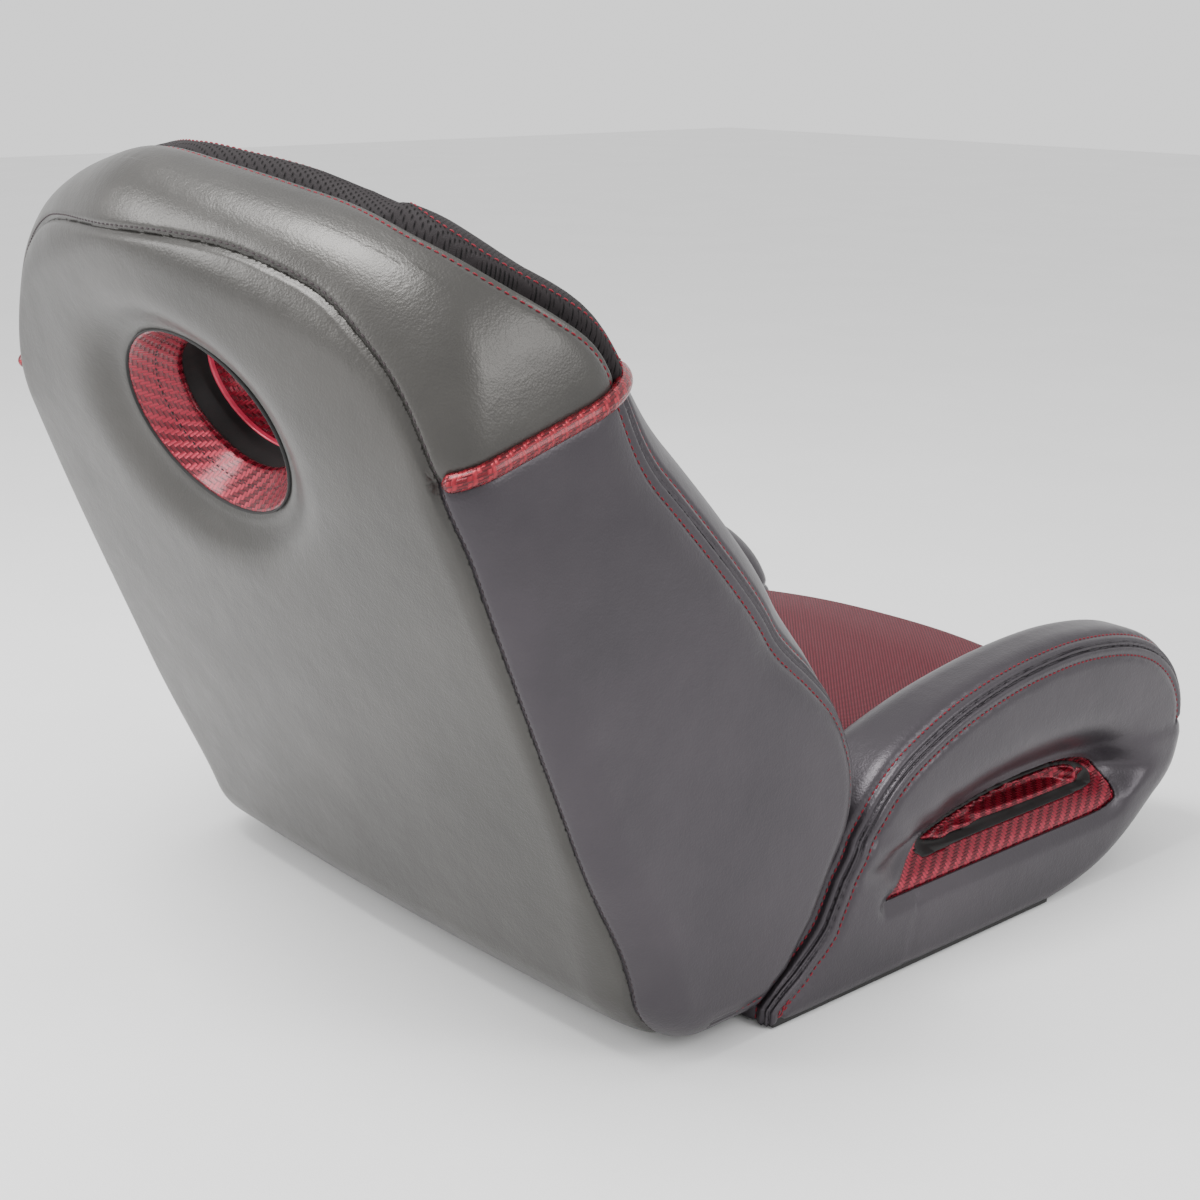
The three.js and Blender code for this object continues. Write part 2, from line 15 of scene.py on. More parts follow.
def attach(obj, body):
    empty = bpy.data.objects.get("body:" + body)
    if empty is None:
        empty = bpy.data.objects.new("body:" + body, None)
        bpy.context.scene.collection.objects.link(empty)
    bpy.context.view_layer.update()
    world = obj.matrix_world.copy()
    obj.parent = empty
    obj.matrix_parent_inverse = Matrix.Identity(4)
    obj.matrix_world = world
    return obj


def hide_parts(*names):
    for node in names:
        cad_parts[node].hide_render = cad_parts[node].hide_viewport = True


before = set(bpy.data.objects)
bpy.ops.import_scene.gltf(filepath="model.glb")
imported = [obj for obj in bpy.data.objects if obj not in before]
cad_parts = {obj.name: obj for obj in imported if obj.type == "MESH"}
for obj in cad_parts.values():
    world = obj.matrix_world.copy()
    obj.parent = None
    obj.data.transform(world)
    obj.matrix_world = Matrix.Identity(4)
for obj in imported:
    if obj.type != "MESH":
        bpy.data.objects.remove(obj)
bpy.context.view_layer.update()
MM = 0.001

# ---- driving dimensions ----
GRID = 4.0  # cell of the meshed surfaces
SEAM_CUTS = 2  # cuts across a mesh edge beside a seam
LINING_GRID = 1.3  # cell of the finger slots' lining
HALF_WIDTH = 300.0
LEAN = math.radians(21.4)  # of the backrest, from upright
SIN, COS = math.sin(LEAN), math.cos(LEAN)
BACK_Y, BACK_Z = 351.0, 119.0  # where s and o are both 0
BACK_FLOOR = 6.0  # underside of the backrest
PIVOT_Y, PIVOT_Z = 194.0, 163.0
LOBE_RADIUS, NEST_RADIUS = 94.0, 99.0  # of the backrest's lobe and of the wings' edge round it
HOLE_S, HOLE_A, HOLE_B = 330.0, 96.0, 70.0  # the opening's centre and half axes
HOLE_MEAN = 80.0  # rounded mean of its half axes
INSERT_BOTTOM_S = 238.0
ROLL_SEAM_S = -62.0  # seam between the lumbar pad and the bottom roll
WELT_REAR, WELT_SLOPE = (479.0, 432.0), 0.306
WELT_RADIUS = 6.0
WING_SEAM_X = 262.0  # seam between a wing and the front panel
WING_FOOT_X = 196.0  # inner edge of a wing's top cover
SEAT_FLOOR = 112.0  # top of the base under the cushion
CUSHION_FRONT, CUSHION_BACK, CUSHION_SIDE = -312.0, 243.0, 206.0
CROSS_SEAM_Y = -5.0
STITCH_PITCH, STITCH_LENGTH, STITCH_RADIUS = 5.4, 3.9, 0.62
SEAM_OFFSET = 10.5  # stitch lines either side of a double seam
SHELL, LINING_SHELL = 2.6, 1.2  # thickness of a cover and of the lining


# ---- small maths ----
def ramp(v, a, b):
    """Rises smoothly from 0 at a to 1 at b."""
    t = np.clip((v - a) / (b - a), 0.0, 1.0)
    return t * t * (3.0 - 2.0 * t)


def blend(a, b, t):
    return a + (b - a) * t


def both(a, b, r):
    """Where a and b both hold (negative), with the edge between them rounded to radius r."""
    return np.minimum(np.maximum(a, b), -r) + np.hypot(np.maximum(a + r, 0), np.maximum(b + r, 0))


def bell(v, width):
    return np.exp(-(v / width) ** 2)


def either(a, b, r):
    """Where a or b holds, with the corner between them filleted to radius r."""
    return -both(-a, -b, r)


def smooth_run(points, steps=6):
    """Catmull-Rom points through the given ones, from the first to the last."""
    p = np.asarray(points, float)
    last = len(p) - 1
    out = []
    for i in range(last):
        a, b, c, d = (p[min(max(i + k, 0), last)] for k in (-1, 0, 1, 2))
        for t in np.arange(steps) / steps:
            out.append(0.5 * (2 * b + (c - a) * t + (2 * a - 5 * b + 4 * c - d) * t * t
                              + (3 * b - a - 3 * c + d) * t ** 3))
    return [tuple(q) for q in out + [p[-1]]]


def mirrored(half):
    """A smooth line through the points and their mirror images, from the far side to the near one."""
    return smooth_run([(-x, s) for x, s in reversed(half[1:])] + list(half))


def bezier(a, b, c, d, steps=14):
    t = np.linspace(0, 1, steps, endpoint=False)[:, None]
    a, b, c, d = (np.array(v, float) for v in (a, b, c, d))
    return ((1 - t) ** 3 * a + 3 * (1 - t) ** 2 * t * b + 3 * (1 - t) * t * t * c + t ** 3 * d).tolist()


def unit(v):
    return v / np.maximum(np.linalg.norm(v, axis=1), 1e-9)[:, None]


def square_to(v, n):
    """What is left of v without its share along the unit vectors n."""
    return v - n * (v * n).sum(1)[:, None]


def distances(chain):
    """How far along the chain each of its points lies."""
    return np.concatenate([[0], np.cumsum(np.linalg.norm(np.diff(chain, axis=0), axis=1))])


class Profile:
    """Signed distance to a closed outline in a plane, negative inside, read from a fine table."""

    STEP = 2.0
    MARGIN = 120.0

    def __init__(self, outline):
        self.outline = np.asarray(outline, float)
        self.low = self.outline.min(0) - self.MARGIN
        count = np.ceil((self.outline.max(0) + self.MARGIN - self.low) / self.STEP).astype(int) + 1
        u = self.low[0] + self.STEP * np.arange(count[0])[:, None]
        v = self.low[1] + self.STEP * np.arange(count[1])[None, :]
        best = np.full(tuple(count), 1e12)
        inside = np.zeros(tuple(count), bool)
        for (ax, ay), (bx, by) in zip(self.outline, np.roll(self.outline, -1, 0)):
            ex, ey = bx - ax, by - ay
            t = np.clip(((u - ax) * ex + (v - ay) * ey) / (ex * ex + ey * ey + 1e-12), 0, 1)
            best = np.minimum(best, (u - ax - t * ex) ** 2 + (v - ay - t * ey) ** 2)
            if ay != by:
                inside ^= ((ay > v) != (by > v)) & (u < ex * (v - ay) / ey + ax)
        self.table = np.where(inside, -1.0, 1.0) * np.sqrt(best)

    def __call__(self, u, v):
        u, v = np.broadcast_arrays(u, v)
        fu = np.clip((u - self.low[0]) / self.STEP, 0, self.table.shape[0] - 1.001)
        fv = np.clip((v - self.low[1]) / self.STEP, 0, self.table.shape[1] - 1.001)
        i, j = fu.astype(int), fv.astype(int)
        fu, fv = fu - i, fv - j
        t = self.table
        return ((t[i, j] * (1 - fu) + t[i + 1, j] * fu) * (1 - fv)
                + (t[i, j + 1] * (1 - fu) + t[i + 1, j + 1] * fu) * fv)


def lean_point(s, o):
    return (BACK_Y + s * SIN + o * COS, BACK_Z + s * COS - o * SIN)


def to_lean(y, z):
    dy, dz = y - BACK_Y, z - BACK_Z
    return dy * SIN + dz * COS, dy * COS - dz * SIN


def hinge_arc(radius, start, end, steps):
    """Points on an arc about the hinge, from one angle to another in degrees."""
    angles = np.radians(np.linspace(start, end, steps + 1))
    return [(PIVOT_Y + radius * math.cos(a), PIVOT_Z + radius * math.sin(a)) for a in angles]


# ---- meshing a shape function ----
def surface_net(field, low, high, step):
    """A quad mesh of the zero surface of field(x, y, z) inside a box."""
    axes = [np.arange(low[i], high[i] + step, step) for i in range(3)]
    value = field(axes[0][:, None, None], axes[1][None, :, None], axes[2][None, None, :])
    inside = value < 0
    cells = tuple(n - 1 for n in value.shape)
    count = np.zeros(cells, np.int8)
    for corner in np.ndindex(2, 2, 2):
        count += inside[tuple(slice(c, c + n) for c, n in zip(corner, cells))]
    live = np.argwhere((count > 0) & (count < 8))
    number = np.full(cells, -1, np.int64)
    number[tuple(live.T)] = np.arange(len(live))
    total = np.zeros((len(live), 3))
    hits = np.zeros(len(live))
    for axis in range(3):
        others = [a for a in range(3) if a != axis]
        for b, c in np.ndindex(2, 2):
            start = np.zeros(3, int)
            start[others[0]], start[others[1]] = b, c
            end = start.copy()
            end[axis] += 1
            f0 = value[tuple((live + start).T)]
            f1 = value[tuple((live + end).T)]
            crossed = (f0 < 0) != (f1 < 0)
            t = np.where(crossed, f0 / np.where(f0 == f1, 1, f0 - f1), 0)
            place = live + start + 0.0
            place[:, axis] += t
            total += place * crossed[:, None]
            hits += crossed
    points = np.array(low) + step * total / hits[:, None]
    quads = []
    for axis in range(3):
        others = [(axis + 1) % 3, (axis + 2) % 3]
        edge = np.argwhere(np.diff(inside, axis=axis))
        keep = np.all([(edge[:, a] > 0) & (edge[:, a] < cells[a]) for a in others], axis=0)
        edge = edge[keep]
        outward = inside[tuple(edge.T)]
        ring = []
        for b, c in ((-1, -1), (0, -1), (0, 0), (-1, 0)):
            cell = edge.copy()
            cell[:, others[0]] += b
            cell[:, others[1]] += c
            ring.append(number[tuple(cell.T)])
        ring = np.stack(ring, 1)
        ring[~outward] = ring[~outward][:, ::-1]
        quads.append(ring)
    return points, np.concatenate(quads)


def gradient(field, p, h=0.8):
    return np.stack([(field(*(p + d).T) - field(*(p - d).T)) / (2 * h) for d in h * np.eye(3)], 1)


def normals_of(field):
    """A function that gives the outward normals of the field's surface at points on it."""
    return lambda p: unit(gradient(field, p, 1.6))


def settle(field, p, rounds=3):
    """Moves points onto the zero surface and returns them with their outward normals."""
    for _ in range(rounds):
        g = gradient(field, p)
        p = p - g * (field(*p.T) / np.maximum((g * g).sum(1), 1e-6))[:, None]
    return p, normals_of(field)(p)


def refine(points, faces, near, cuts):
    """Subdivides the faces whose edges have both ends marked near, and triangulates."""
    bm = bmesh.new()
    verts = [bm.verts.new(p) for p in points]
    for f in faces:
        bm.faces.new([verts[i] for i in f])
    bm.verts.index_update()
    edges = [e for e in bm.edges if near[e.verts[0].index] and near[e.verts[1].index]]
    if cuts and edges:
        bmesh.ops.subdivide_edges(bm, edges=edges, cuts=cuts, use_grid_fill=True)
    bmesh.ops.triangulate(bm, faces=bm.faces[:])
    bm.verts.index_update()
    out = np.array([v.co[:] for v in bm.verts])
    tris = np.array([[v.index for v in f.verts] for f in bm.faces])
    bm.free()
    return out, tris


def crossing(points, f, a, b):
    """Names the edge from a to b and finds the point on it where the values f pass zero."""
    a, b = min(a, b), max(a, b)
    t = f[a] / (f[a] - f[b])
    return (a, b), points[a] * (1 - t) + points[b] * t


def cut(points, tris, field):
    """Splits the triangles along the zero line of a field."""
    f = field(*points.T)
    f = np.where(np.abs(f) < 0.3, 0.0, f)
    sign = np.sign(f)[tris]
    crossed = (sign.min(1) < 0) & (sign.max(1) > 0)
    fresh, places, extra = {}, [], []
    base = len(points)
    for tri in tris[crossed]:
        above, below = [], []
        for k in range(3):
            a, b = int(tri[k]), int(tri[(k + 1) % 3])
            if f[a] >= 0:
                above.append(a)
            if f[a] <= 0:
                below.append(a)
            if f[a] * f[b] < 0:
                key, place = crossing(points, f, a, b)
                if key not in fresh:
                    fresh[key] = base + len(places)
                    places.append(place)
                above.append(fresh[key])
                below.append(fresh[key])
        for ring in (above, below):
            extra += [(ring[0], ring[i], ring[i + 1]) for i in range(1, len(ring) - 1)]
    if places:
        points = np.vstack([points, places])
    return points, np.vstack([tris[~crossed], np.array(extra).reshape(-1, 3)]).astype(int)


def level_lines(points, tris, values, level, keep):
    """Chains of points on the kept triangles where the values at the vertices equal level."""
    f = values - level
    f = np.where(f == 0, 1e-9, f)
    rows = tris[keep]
    sign = f[rows] > 0
    rows = rows[(sign.any(1)) & (~sign.all(1))]
    place, links = {}, {}
    for tri in rows:
        ends = []
        for k in range(3):
            a, b = int(tri[k]), int(tri[(k + 1) % 3])
            if (f[a] > 0) != (f[b] > 0):
                key, point = crossing(points, f, a, b)
                place[key] = point
                ends.append(key)
        if len(ends) == 2:
            links.setdefault(ends[0], []).append(ends[1])
            links.setdefault(ends[1], []).append(ends[0])
    chains, seen = [], set()
    starts = sorted(k for k in links if len(links[k]) == 1) + sorted(links)
    for start in starts:
        if start in seen:
            continue
        chain, here = [start], start
        seen.add(start)
        while True:
            step = [k for k in links[here] if k not in seen]
            if not step:
                break
            here = step[0]
            seen.add(here)
            chain.append(here)
        if len(chain) > 4:
            chains.append(np.array([place[k] for k in chain]))
    return chains


def even_steps(chain, pitch, smoothing=4):
    """The chain smoothed a little and resampled at an even pitch."""
    c = chain.copy()
    for _ in range(smoothing):
        c[1:-1] = 0.5 * c[1:-1] + 0.25 * (c[:-2] + c[2:])
    along = distances(c)
    marks = np.arange(pitch / 2, along[-1], pitch)
    return np.stack([np.interp(marks, along, c[:, i]) for i in range(3)], 1)


# ---- Blender objects ----
def linked(name, data):
    thing = bpy.data.objects.new(name, data)
    bpy.context.scene.collection.objects.link(thing)
    return thing


def make_piece(name, points, faces, material, body, uv=None, shell=0.0):
    """A smooth-shaded object from points in millimetres."""
    mesh = bpy.data.meshes.new(name)
    mesh.from_pydata((np.asarray(points) * MM).tolist(), [], [tuple(int(i) for i in f) for f in faces])
    mesh.polygons.foreach_set("use_smooth", [True] * len(mesh.polygons))
    if uv is not None:
        layer = mesh.uv_layers.new(name="surface_mm")
        index = np.empty(len(mesh.loops), np.int32)
        mesh.loops.foreach_get("vertex_index", index)
        layer.data.foreach_set("uv", (np.asarray(uv)[index] * MM).astype(np.float32).ravel())
    mesh.validate()
    mesh.materials.append(material)
    piece = linked(name, mesh)
    if shell:
        solidify = piece.modifiers.new("cover_thickness", "SOLIDIFY")
        solidify.thickness = shell * MM
        solidify.offset = -1.0
    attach(piece, body)
    return piece


def submesh(tris, pick):
    """The vertices that the picked triangles use, and the triangles renumbered for them."""
    used, flat = np.unique(tris[pick], return_inverse=True)
    return used, flat.reshape(-1, 3)


def stitches(name, rows, normal_at, body, material, lift=0.25):
    """Short thread loops laid along the given chains of points."""
    sides = 6
    # places along half a stitch each way, and how thick it is there
    stations = ((-1.0, 0.35), (-0.72, 0.85), (-0.25, 1.0), (0.25, 1.0), (0.72, 0.85), (1.0, 0.35))
    verts, faces = [], []
    angles = np.arange(sides) * 2 * math.pi / sides
    for row in rows:
        marks = even_steps(row, STITCH_PITCH)
        if len(marks) < 3:
            continue
        tangent = unit(np.gradient(marks, axis=0))
        normal = normal_at(marks)
        across = np.cross(normal, tangent)
        for p, t, n, a in zip(marks, tangent, normal, across):
            base = len(verts)
            for along, fat in stations:
                dip = lift - 0.55 * along * along
                centre = p + t * along * STITCH_LENGTH / 2 + n * dip
                for w in angles:
                    verts.append(centre + STITCH_RADIUS * fat * (a * math.cos(w) + n * math.sin(w)))
            for k in range(len(stations) - 1):
                for j in range(sides):
                    q = base + k * sides
                    faces.append((q + j, q + (j + 1) % sides, q + sides + (j + 1) % sides, q + sides + j))
            faces.append(tuple(base + j for j in reversed(range(sides))))
            faces.append(tuple(base + (len(stations) - 1) * sides + j for j in range(sides)))
    make_piece(name, verts, faces, material, body)


def seam_stitches(name, surface, lines, body, material, lift=0.25):
    """Stitches along level lines of a surface (points, triangles, field).

    A line is (values at the points, level, triangles to keep).
    """
    points, tris, field = surface
    rows = [row for line in lines for row in level_lines(points, tris, *line)]
    stitches(name, rows, normals_of(field), body, material, lift)


# ---- shape of the backrest ----
CREST_LINE = [(560, -58), (530, -78), (508, -90), (490, -101), (468, -114), (419, -139), (369, -171),
              (289, -198), (243, -215), (182, -237), (133, -252), (92, -259), (62, -261)]
crest_profile = Profile(
    [(760.0, 760.0)] + smooth_run([lean_point(s, o) for s, o in CREST_LINE])
    + hinge_arc(LOBE_RADIUS, 154, 214, 16)
    + [(138, 68), (165, 34), (190, 17), (217, 6), (250, 6), (300, -90), (760, -90)])
BACK_OUTLINE = [(0, 514), (69, 502), (125, 487), (179, 469), (226, 447), (257, 420), (277, 388), (288, 350),
                (293, 300), (298, 230), (300, 140), (300, 0), (300, -60), (300, -120)]
outline_profile = Profile(mirrored(BACK_OUTLINE) + [(300, -260), (-300, -260)])
SEAM_OUTLINE = [(0, 482), (60, 480), (110, 473), (151, 461), (193, 442), (227, 414), (251, 385), (268, 348),
                (276, 305), (279, 250), (280, 60), (277, -60), (270, -130)]
seam_profile = Profile(mirrored(SEAM_OUTLINE) + [(262, -260), (-262, -260)])
CENTRE_S = [-150, -130, -100, -62, 60, 150, 250, 340, 420, 490, 560]
CENTRE_O = [-34, -58, -82, -92, -106, -122, -136, -138, -120, -98, -76]


def rim_gap(x, s):
    """How far outside the opening's edge a point lies, as a share of the opening's size."""
    return np.maximum(np.hypot(x / HOLE_A, (s - HOLE_S) / HOLE_B), 1.0) - 1.0


def rear_face(x, s, o):
    """Signed distance from the crowned rear panel, which sinks round the opening."""
    crown = blend(8.0, 50.0, ramp(s, 310, 480)) * (x / 280.0) ** 2
    return (o + crown + 17.0 * bell(rim_gap(x, s), 0.32)) * 0.93


def crest_radius(s):
    return blend(blend(20.0, 84.0, ramp(s, -10, 110)), 31.0, ramp(s, 255, 410))


def hollow(x, y, z):
    """Signed distances from the side walls and from the padded face between the bolsters."""
    s, o = to_lean(y, z)
    face = np.interp(s, CENTRE_S, CENTRE_O) + 9.0 * bell(rim_gap(x, s), 0.2)
    lean_in = np.interp(s, (-60, 62, 133, 182, 243, 289), (0.17, 0.23, 0.27, 0.32, 0.44, 0.50))
    side = 185.0 + lean_in * np.maximum(face - o, 0)
    from_pivot = np.hypot(y - PIVOT_Y, z - PIVOT_Z)
    turn = np.degrees(np.arctan2(z - PIVOT_Z, y - PIVOT_Y)) - 245.0
    turn = np.abs((turn + 180.0) % 360.0 - 180.0)
    swept = ramp(from_pivot, 24, 40) * (1 - ramp(turn, 102, 118)) * (1 - ramp(from_pivot, 98, 116))
    return np.abs(x) - np.maximum(side, 219.0 * swept), (o - face) * 0.97


def back_field(x, y, z):
    s, o = to_lean(y, z)
    outline = outline_profile(x, s)
    corner = 26.0 * ramp(y, 250, 330) * (1 - ramp(s, -80, 60))
    rear = both(rear_face(x, s, o), BACK_FLOOR - z, 46.0)
    shell = both(outline, rear, blend(34.0, 48.0, ramp(s, 330, 450)) + corner)
    front = both(outline, crest_profile(y, z), crest_radius(s))
    edge = blend(blend(14.0, 28.0, ramp(s, 0, 150)), 5.0, ramp(s, 370, 450))
    return both(np.maximum(shell, front), -both(*hollow(x, y, z), 12.0), edge)


def across_edge(face, outer, r, inset, reach):
    """Distance across an edge rounded to radius r, from a seam inset from the outer side.

    face and outer are signed distances from the two sides that meet in the edge. A point
    deeper than reach behind the outer side counts as past the seam.
    """
    turn = r * np.arctan2(face + r, outer + r)
    turn = np.where(face < -r, face + r, turn)
    turn = np.where((outer < -r) & (face >= -r), r * math.pi / 2 - r - outer, turn)
    return np.maximum(turn - r * np.arccos((r - inset) / r), -outer - reach)


def rear_seam(x, y, z):
    """Negative on the rear panel."""
    return seam_profile(x, to_lean(y, z)[0])


def crest_seam(x, y, z):
    """Positive forward of the double seam along the crest."""
    s, _ = to_lean(y, z)
    inset = blend(12.0, 8.0, ramp(s, 330, 430)) - 5.0 * ramp(np.abs(x), 140, 220) * ramp(s, 335, 390)
    return across_edge(crest_profile(y, z), outline_profile(x, s), crest_radius(s), inset, 62.0)


def facing(x, y, z):
    """Positive on the front half of the backrest."""
    front = np.maximum(crest_profile(y, z), -np.maximum(*hollow(x, y, z)))
    return front - np.maximum(rear_face(x, *to_lean(y, z)), BACK_FLOOR - z)


def welt_plane(x, y, z):
    """Positive above the sloping line of the shoulder welts."""
    return (z - WELT_REAR[1] + (y - WELT_REAR[0]) * WELT_SLOPE) * 0.96


def crevice(x, y, z):
    """Positive on the padded face between the bolsters."""
    wall, face = hollow(x, y, z)
    return face - wall


def insert_edge(x, y, z):
    """Positive on the mesh insert: above the welts, and between the bolsters down to its lower edge."""
    lower = both(-crevice(x, y, z), INSERT_BOTTOM_S - to_lean(y, z)[0], 24.0)
    return -either(-welt_plane(x, y, z), lower, 24.0)


def hole_edge(x, y, z):
    """Negative inside the opening."""
    return (np.hypot(x / HOLE_A, (to_lean(y, z)[0] - HOLE_S) / HOLE_B) - 1.0) * HOLE_MEAN


# ---- shape of the base ----
WING_REAR = [(189, 12), (164, 34), (137, 66)] + hinge_arc(NEST_RADIUS, 222, 204, 8)
WING_CREST = [(94, 134), (74, 155), (44, 177), (-10, 200), (-65, 214), (-116, 221), (-170, 223),
              (-226, 217), (-268, 205), (-300, 186), (-323, 160), (-333, 130), (-329, 97), (-314, 66),
              (-276, 41), (-214, 17), (-178, 7), (-142, 2)]
wing_profile = Profile([(190, 2)] + WING_REAR + smooth_run(WING_CREST, 5))
wing_line = Profile([(190, -240)] + WING_REAR + smooth_run(WING_CREST, 5) + [(-142, -240)])


SLOT_OUTLINE = (bezier((66, 60), (4, 96), (-76, 109), (-160, 108))
                + bezier((-160, 108), (-212, 107), (-240, 94), (-237, 76))
                + bezier((-237, 76), (-234, 60), (-215, 60), (-180, 60)) + [(20, 60)])
slot_profile = Profile(SLOT_OUTLINE)


def slot_dish(y, z):
    """How deep a wing's side is dished, most of all above its finger slot."""
    gap = np.maximum(slot_profile(y, z), 0.0)
    above = ramp(z, 64, 92)
    return blend(6.0, 30.0, above) * bell(gap, blend(8.0, 25.0, above))


def wing_face(x, y, z):
    """Signed distance from the outer side of a wing."""
    return np.abs(x) - HALF_WIDTH + slot_dish(y, z)


def wing_radius(z):
    return blend(7.0, 26.0, ramp(z, 14, 60))


def base_field(x, y, z):
    side = both(wing_profile(y, z), wing_face(x, y, z), wing_radius(z))
    inner = (206.0 + 0.35 * (z - 140.0)) - np.abs(x)
    return either(both(side, inner, 25.0), both(side, z - SEAT_FLOOR, 8.0), 8.0)


def wing_seam(x, y, z):
    """Positive above the double seam of a wing."""
    turn = across_edge(wing_line(y, z), wing_face(x, y, z), wing_radius(z), 5.0, 50.0)
    return np.minimum(turn, z - 128.0 + 260.0 * ramp(y, 20, 90))


def front_seam(x, y, z):
    """Positive on the side of a wing, outside the front panel."""
    return np.abs(x) - WING_SEAM_X


def slot_edge(x, y, z):
    """Negative inside a finger slot."""
    return slot_profile(y, z)


def cushion_field(x, y, z):
    across = np.abs(x)
    puff = 5.0 * (1 - np.exp(-np.abs(y - CROSS_SEAM_Y) / 26.0))
    top = z - (138.0 + puff + 15.0 * (1 - (across / 205.0) ** 2) - 11.0 * ramp(-y, 190, 320))
    body = both(top, CUSHION_FRONT - y, 34.0)
    body = both(body, y - CUSHION_BACK, 16.0)
    body = both(body, across - CUSHION_SIDE, 11.0)
    return both(body, SEAT_FLOOR - z, 5.0)


def cushion_seam(x, y, z):
    """Positive behind the slightly curved cross seam."""
    return y - CROSS_SEAM_Y + 0.00018 * x * x


# ---- materials, with lengths in metres ----
class Nodes:
    """A small helper for writing shader graphs."""

    def __init__(self, name):
        self.material = bpy.data.materials.new(name)
        self.material.use_nodes = True
        self.tree = self.material.node_tree
        self.shader = self.tree.nodes["Principled BSDF"]

    def add(self, kind, **settings):
        node = self.tree.nodes.new(kind)
        for key, value in settings.items():
            if key in node.inputs:
                self.put(node.inputs[key], value)
            else:
                setattr(node, key, value)
        return node

    def put(self, socket, value):
        if isinstance(value, bpy.types.NodeSocket):
            self.tree.links.new(value, socket)
        else:
            socket.default_value = value

    def math(self, operation, a, b=0.0, c=0.0, clamp=False):
        node = self.tree.nodes.new("ShaderNodeMath")
        node.operation = operation
        node.use_clamp = clamp
        for socket, value in zip(node.inputs, (a, b, c)):
            self.put(socket, value)
        return node.outputs[0]

    def plus(self, a, b, clamp=False):
        return self.math("ADD", a, b, clamp=clamp)

    def minus(self, a, b, clamp=False):
        return self.math("SUBTRACT", a, b, clamp=clamp)

    def times(self, a, b):
        return self.math("MULTIPLY", a, b)

    def choose(self, over, a, b):
        """a where over is 1 and b where it is 0."""
        return self.plus(self.times(over, a), self.times(self.minus(1.0, over), b))

    def in_cell(self, v):
        """Place across a cell of size 1, from its middle."""
        return self.minus(self.math("FRACT", v), 0.5)

    def split(self, vector):
        node = self.add("ShaderNodeSeparateXYZ")
        self.put(node.inputs[0], vector)
        return node.outputs

    def place(self):
        return self.add("ShaderNodeTexCoord").outputs["Object"]

    def noise(self, place, scale, detail=3.0, roughness=0.55):
        node = self.add("ShaderNodeTexNoise", Vector=place, Scale=scale, Detail=detail, Roughness=roughness)
        return node.outputs["Fac"]

    def cells(self, place, scale, feature="F1"):
        node = self.add("ShaderNodeTexVoronoi", feature=feature, Scale=scale, Vector=place)
        return node.outputs["Distance"]

    def colours(self, factor, stops):
        node = self.tree.nodes.new("ShaderNodeValToRGB")
        elements = node.color_ramp.elements
        while len(elements) < len(stops):
            elements.new(0.5)
        for element, (position, colour) in zip(elements, stops):
            element.position = position
            element.color = (*colour, 1.0)
        self.put(node.inputs["Fac"], factor)
        return node.outputs["Color"]

    def bump(self, height, distance, strength=1.0, under=None):
        node = self.add("ShaderNodeBump", Strength=strength, Distance=distance, Height=height)
        if under is not None:
            self.put(node.inputs["Normal"], under)
        return node.outputs["Normal"]

    def finish(self, colour, roughness, normal=None, metallic=0.0, **constants):
        self.put(self.shader.inputs["Base Color"], colour)
        self.put(self.shader.inputs["Roughness"], roughness)
        self.put(self.shader.inputs["Metallic"], metallic)
        if normal is not None:
            self.put(self.shader.inputs["Normal"], normal)
        for key, value in constants.items():
            self.shader.inputs[key.replace("_", " ")].default_value = value
        return self.material


def vinyl(name, dark, light, metallic, rough=0.36):
    n = Nodes(name)
    place = n.place()
    mottle = n.noise(place, 9.0, 4.0)
    grain = n.cells(place, 620.0)
    crackle = n.cells(place, 190.0, "DISTANCE_TO_EDGE")
    fine = n.noise(place, 1500.0, 2.0)
    creases = n.noise(place, 38.0, 3.0, 0.6)
    colour = n.colours(mottle, [(0.3, dark), (0.7, light)])
    rub = n.noise(place, 22.0, 5.0, 0.7)
    rough_now = n.plus(n.times(rub, 0.16), rough - 0.06)
    shallow = n.bump(creases, 0.0035, 0.17)
    pores = n.bump(n.plus(n.times(grain, 0.8), n.times(fine, 0.3)), 0.00032, 0.42, shallow)
    net = n.bump(n.math("MINIMUM", n.times(crackle, 6.0), 1.0), 0.0003, 0.10, pores)
    return n.finish(colour, rough_now, net, metallic, Coat_Weight=0.12, Coat_Roughness=0.32)


STRANDS = 37.7                   # radians in one cell of twill, for six threads


def twill(name, bright, dark, cell):
    """Two-by-two carbon twill in the sheet's own coordinates, printed under a glossy skin."""
    n = Nodes(name)
    sheet = n.split(n.add("ShaderNodeUVMap", uv_map="surface_mm").outputs["UV"])
    u, v = (n.math("DIVIDE", sheet[i], cell) for i in range(2))
    column, row = n.math("FLOOR", u), n.math("FLOOR", v)
    place = n.math("FLOORED_MODULO", n.plus(column, row), 4.0)
    over = n.math("LESS_THAN", place, 1.5)
    fu, fv = n.in_cell(u), n.in_cell(v)
    warp, weft = (n.minus(1.0, n.times(n.times(f, f), 3.4)) for f in (fu, fv))
    height = n.choose(over, warp, weft)
    strands = n.choose(over, *(n.math("SINE", n.times(f, STRANDS)) for f in (u, v)))
    # the twill's printed pattern, with painted shade: each thread lighter on its crown and darker on its
    # flanks
    shade = n.plus(n.times(over, 0.36), n.times(height, 0.4))
    shade = n.plus(shade, n.times(strands, 0.05), clamp=True)
    colour = n.colours(shade, [(0.12, dark), (0.86, bright)])
    normal = n.bump(n.plus(height, n.times(strands, 0.06)), 0.0007, 0.55)
    rough = n.plus(n.times(over, 0.10), 0.26)
    return n.finish(colour, rough, normal, 0.6, Coat_Weight=0.3, Coat_Roughness=0.16)


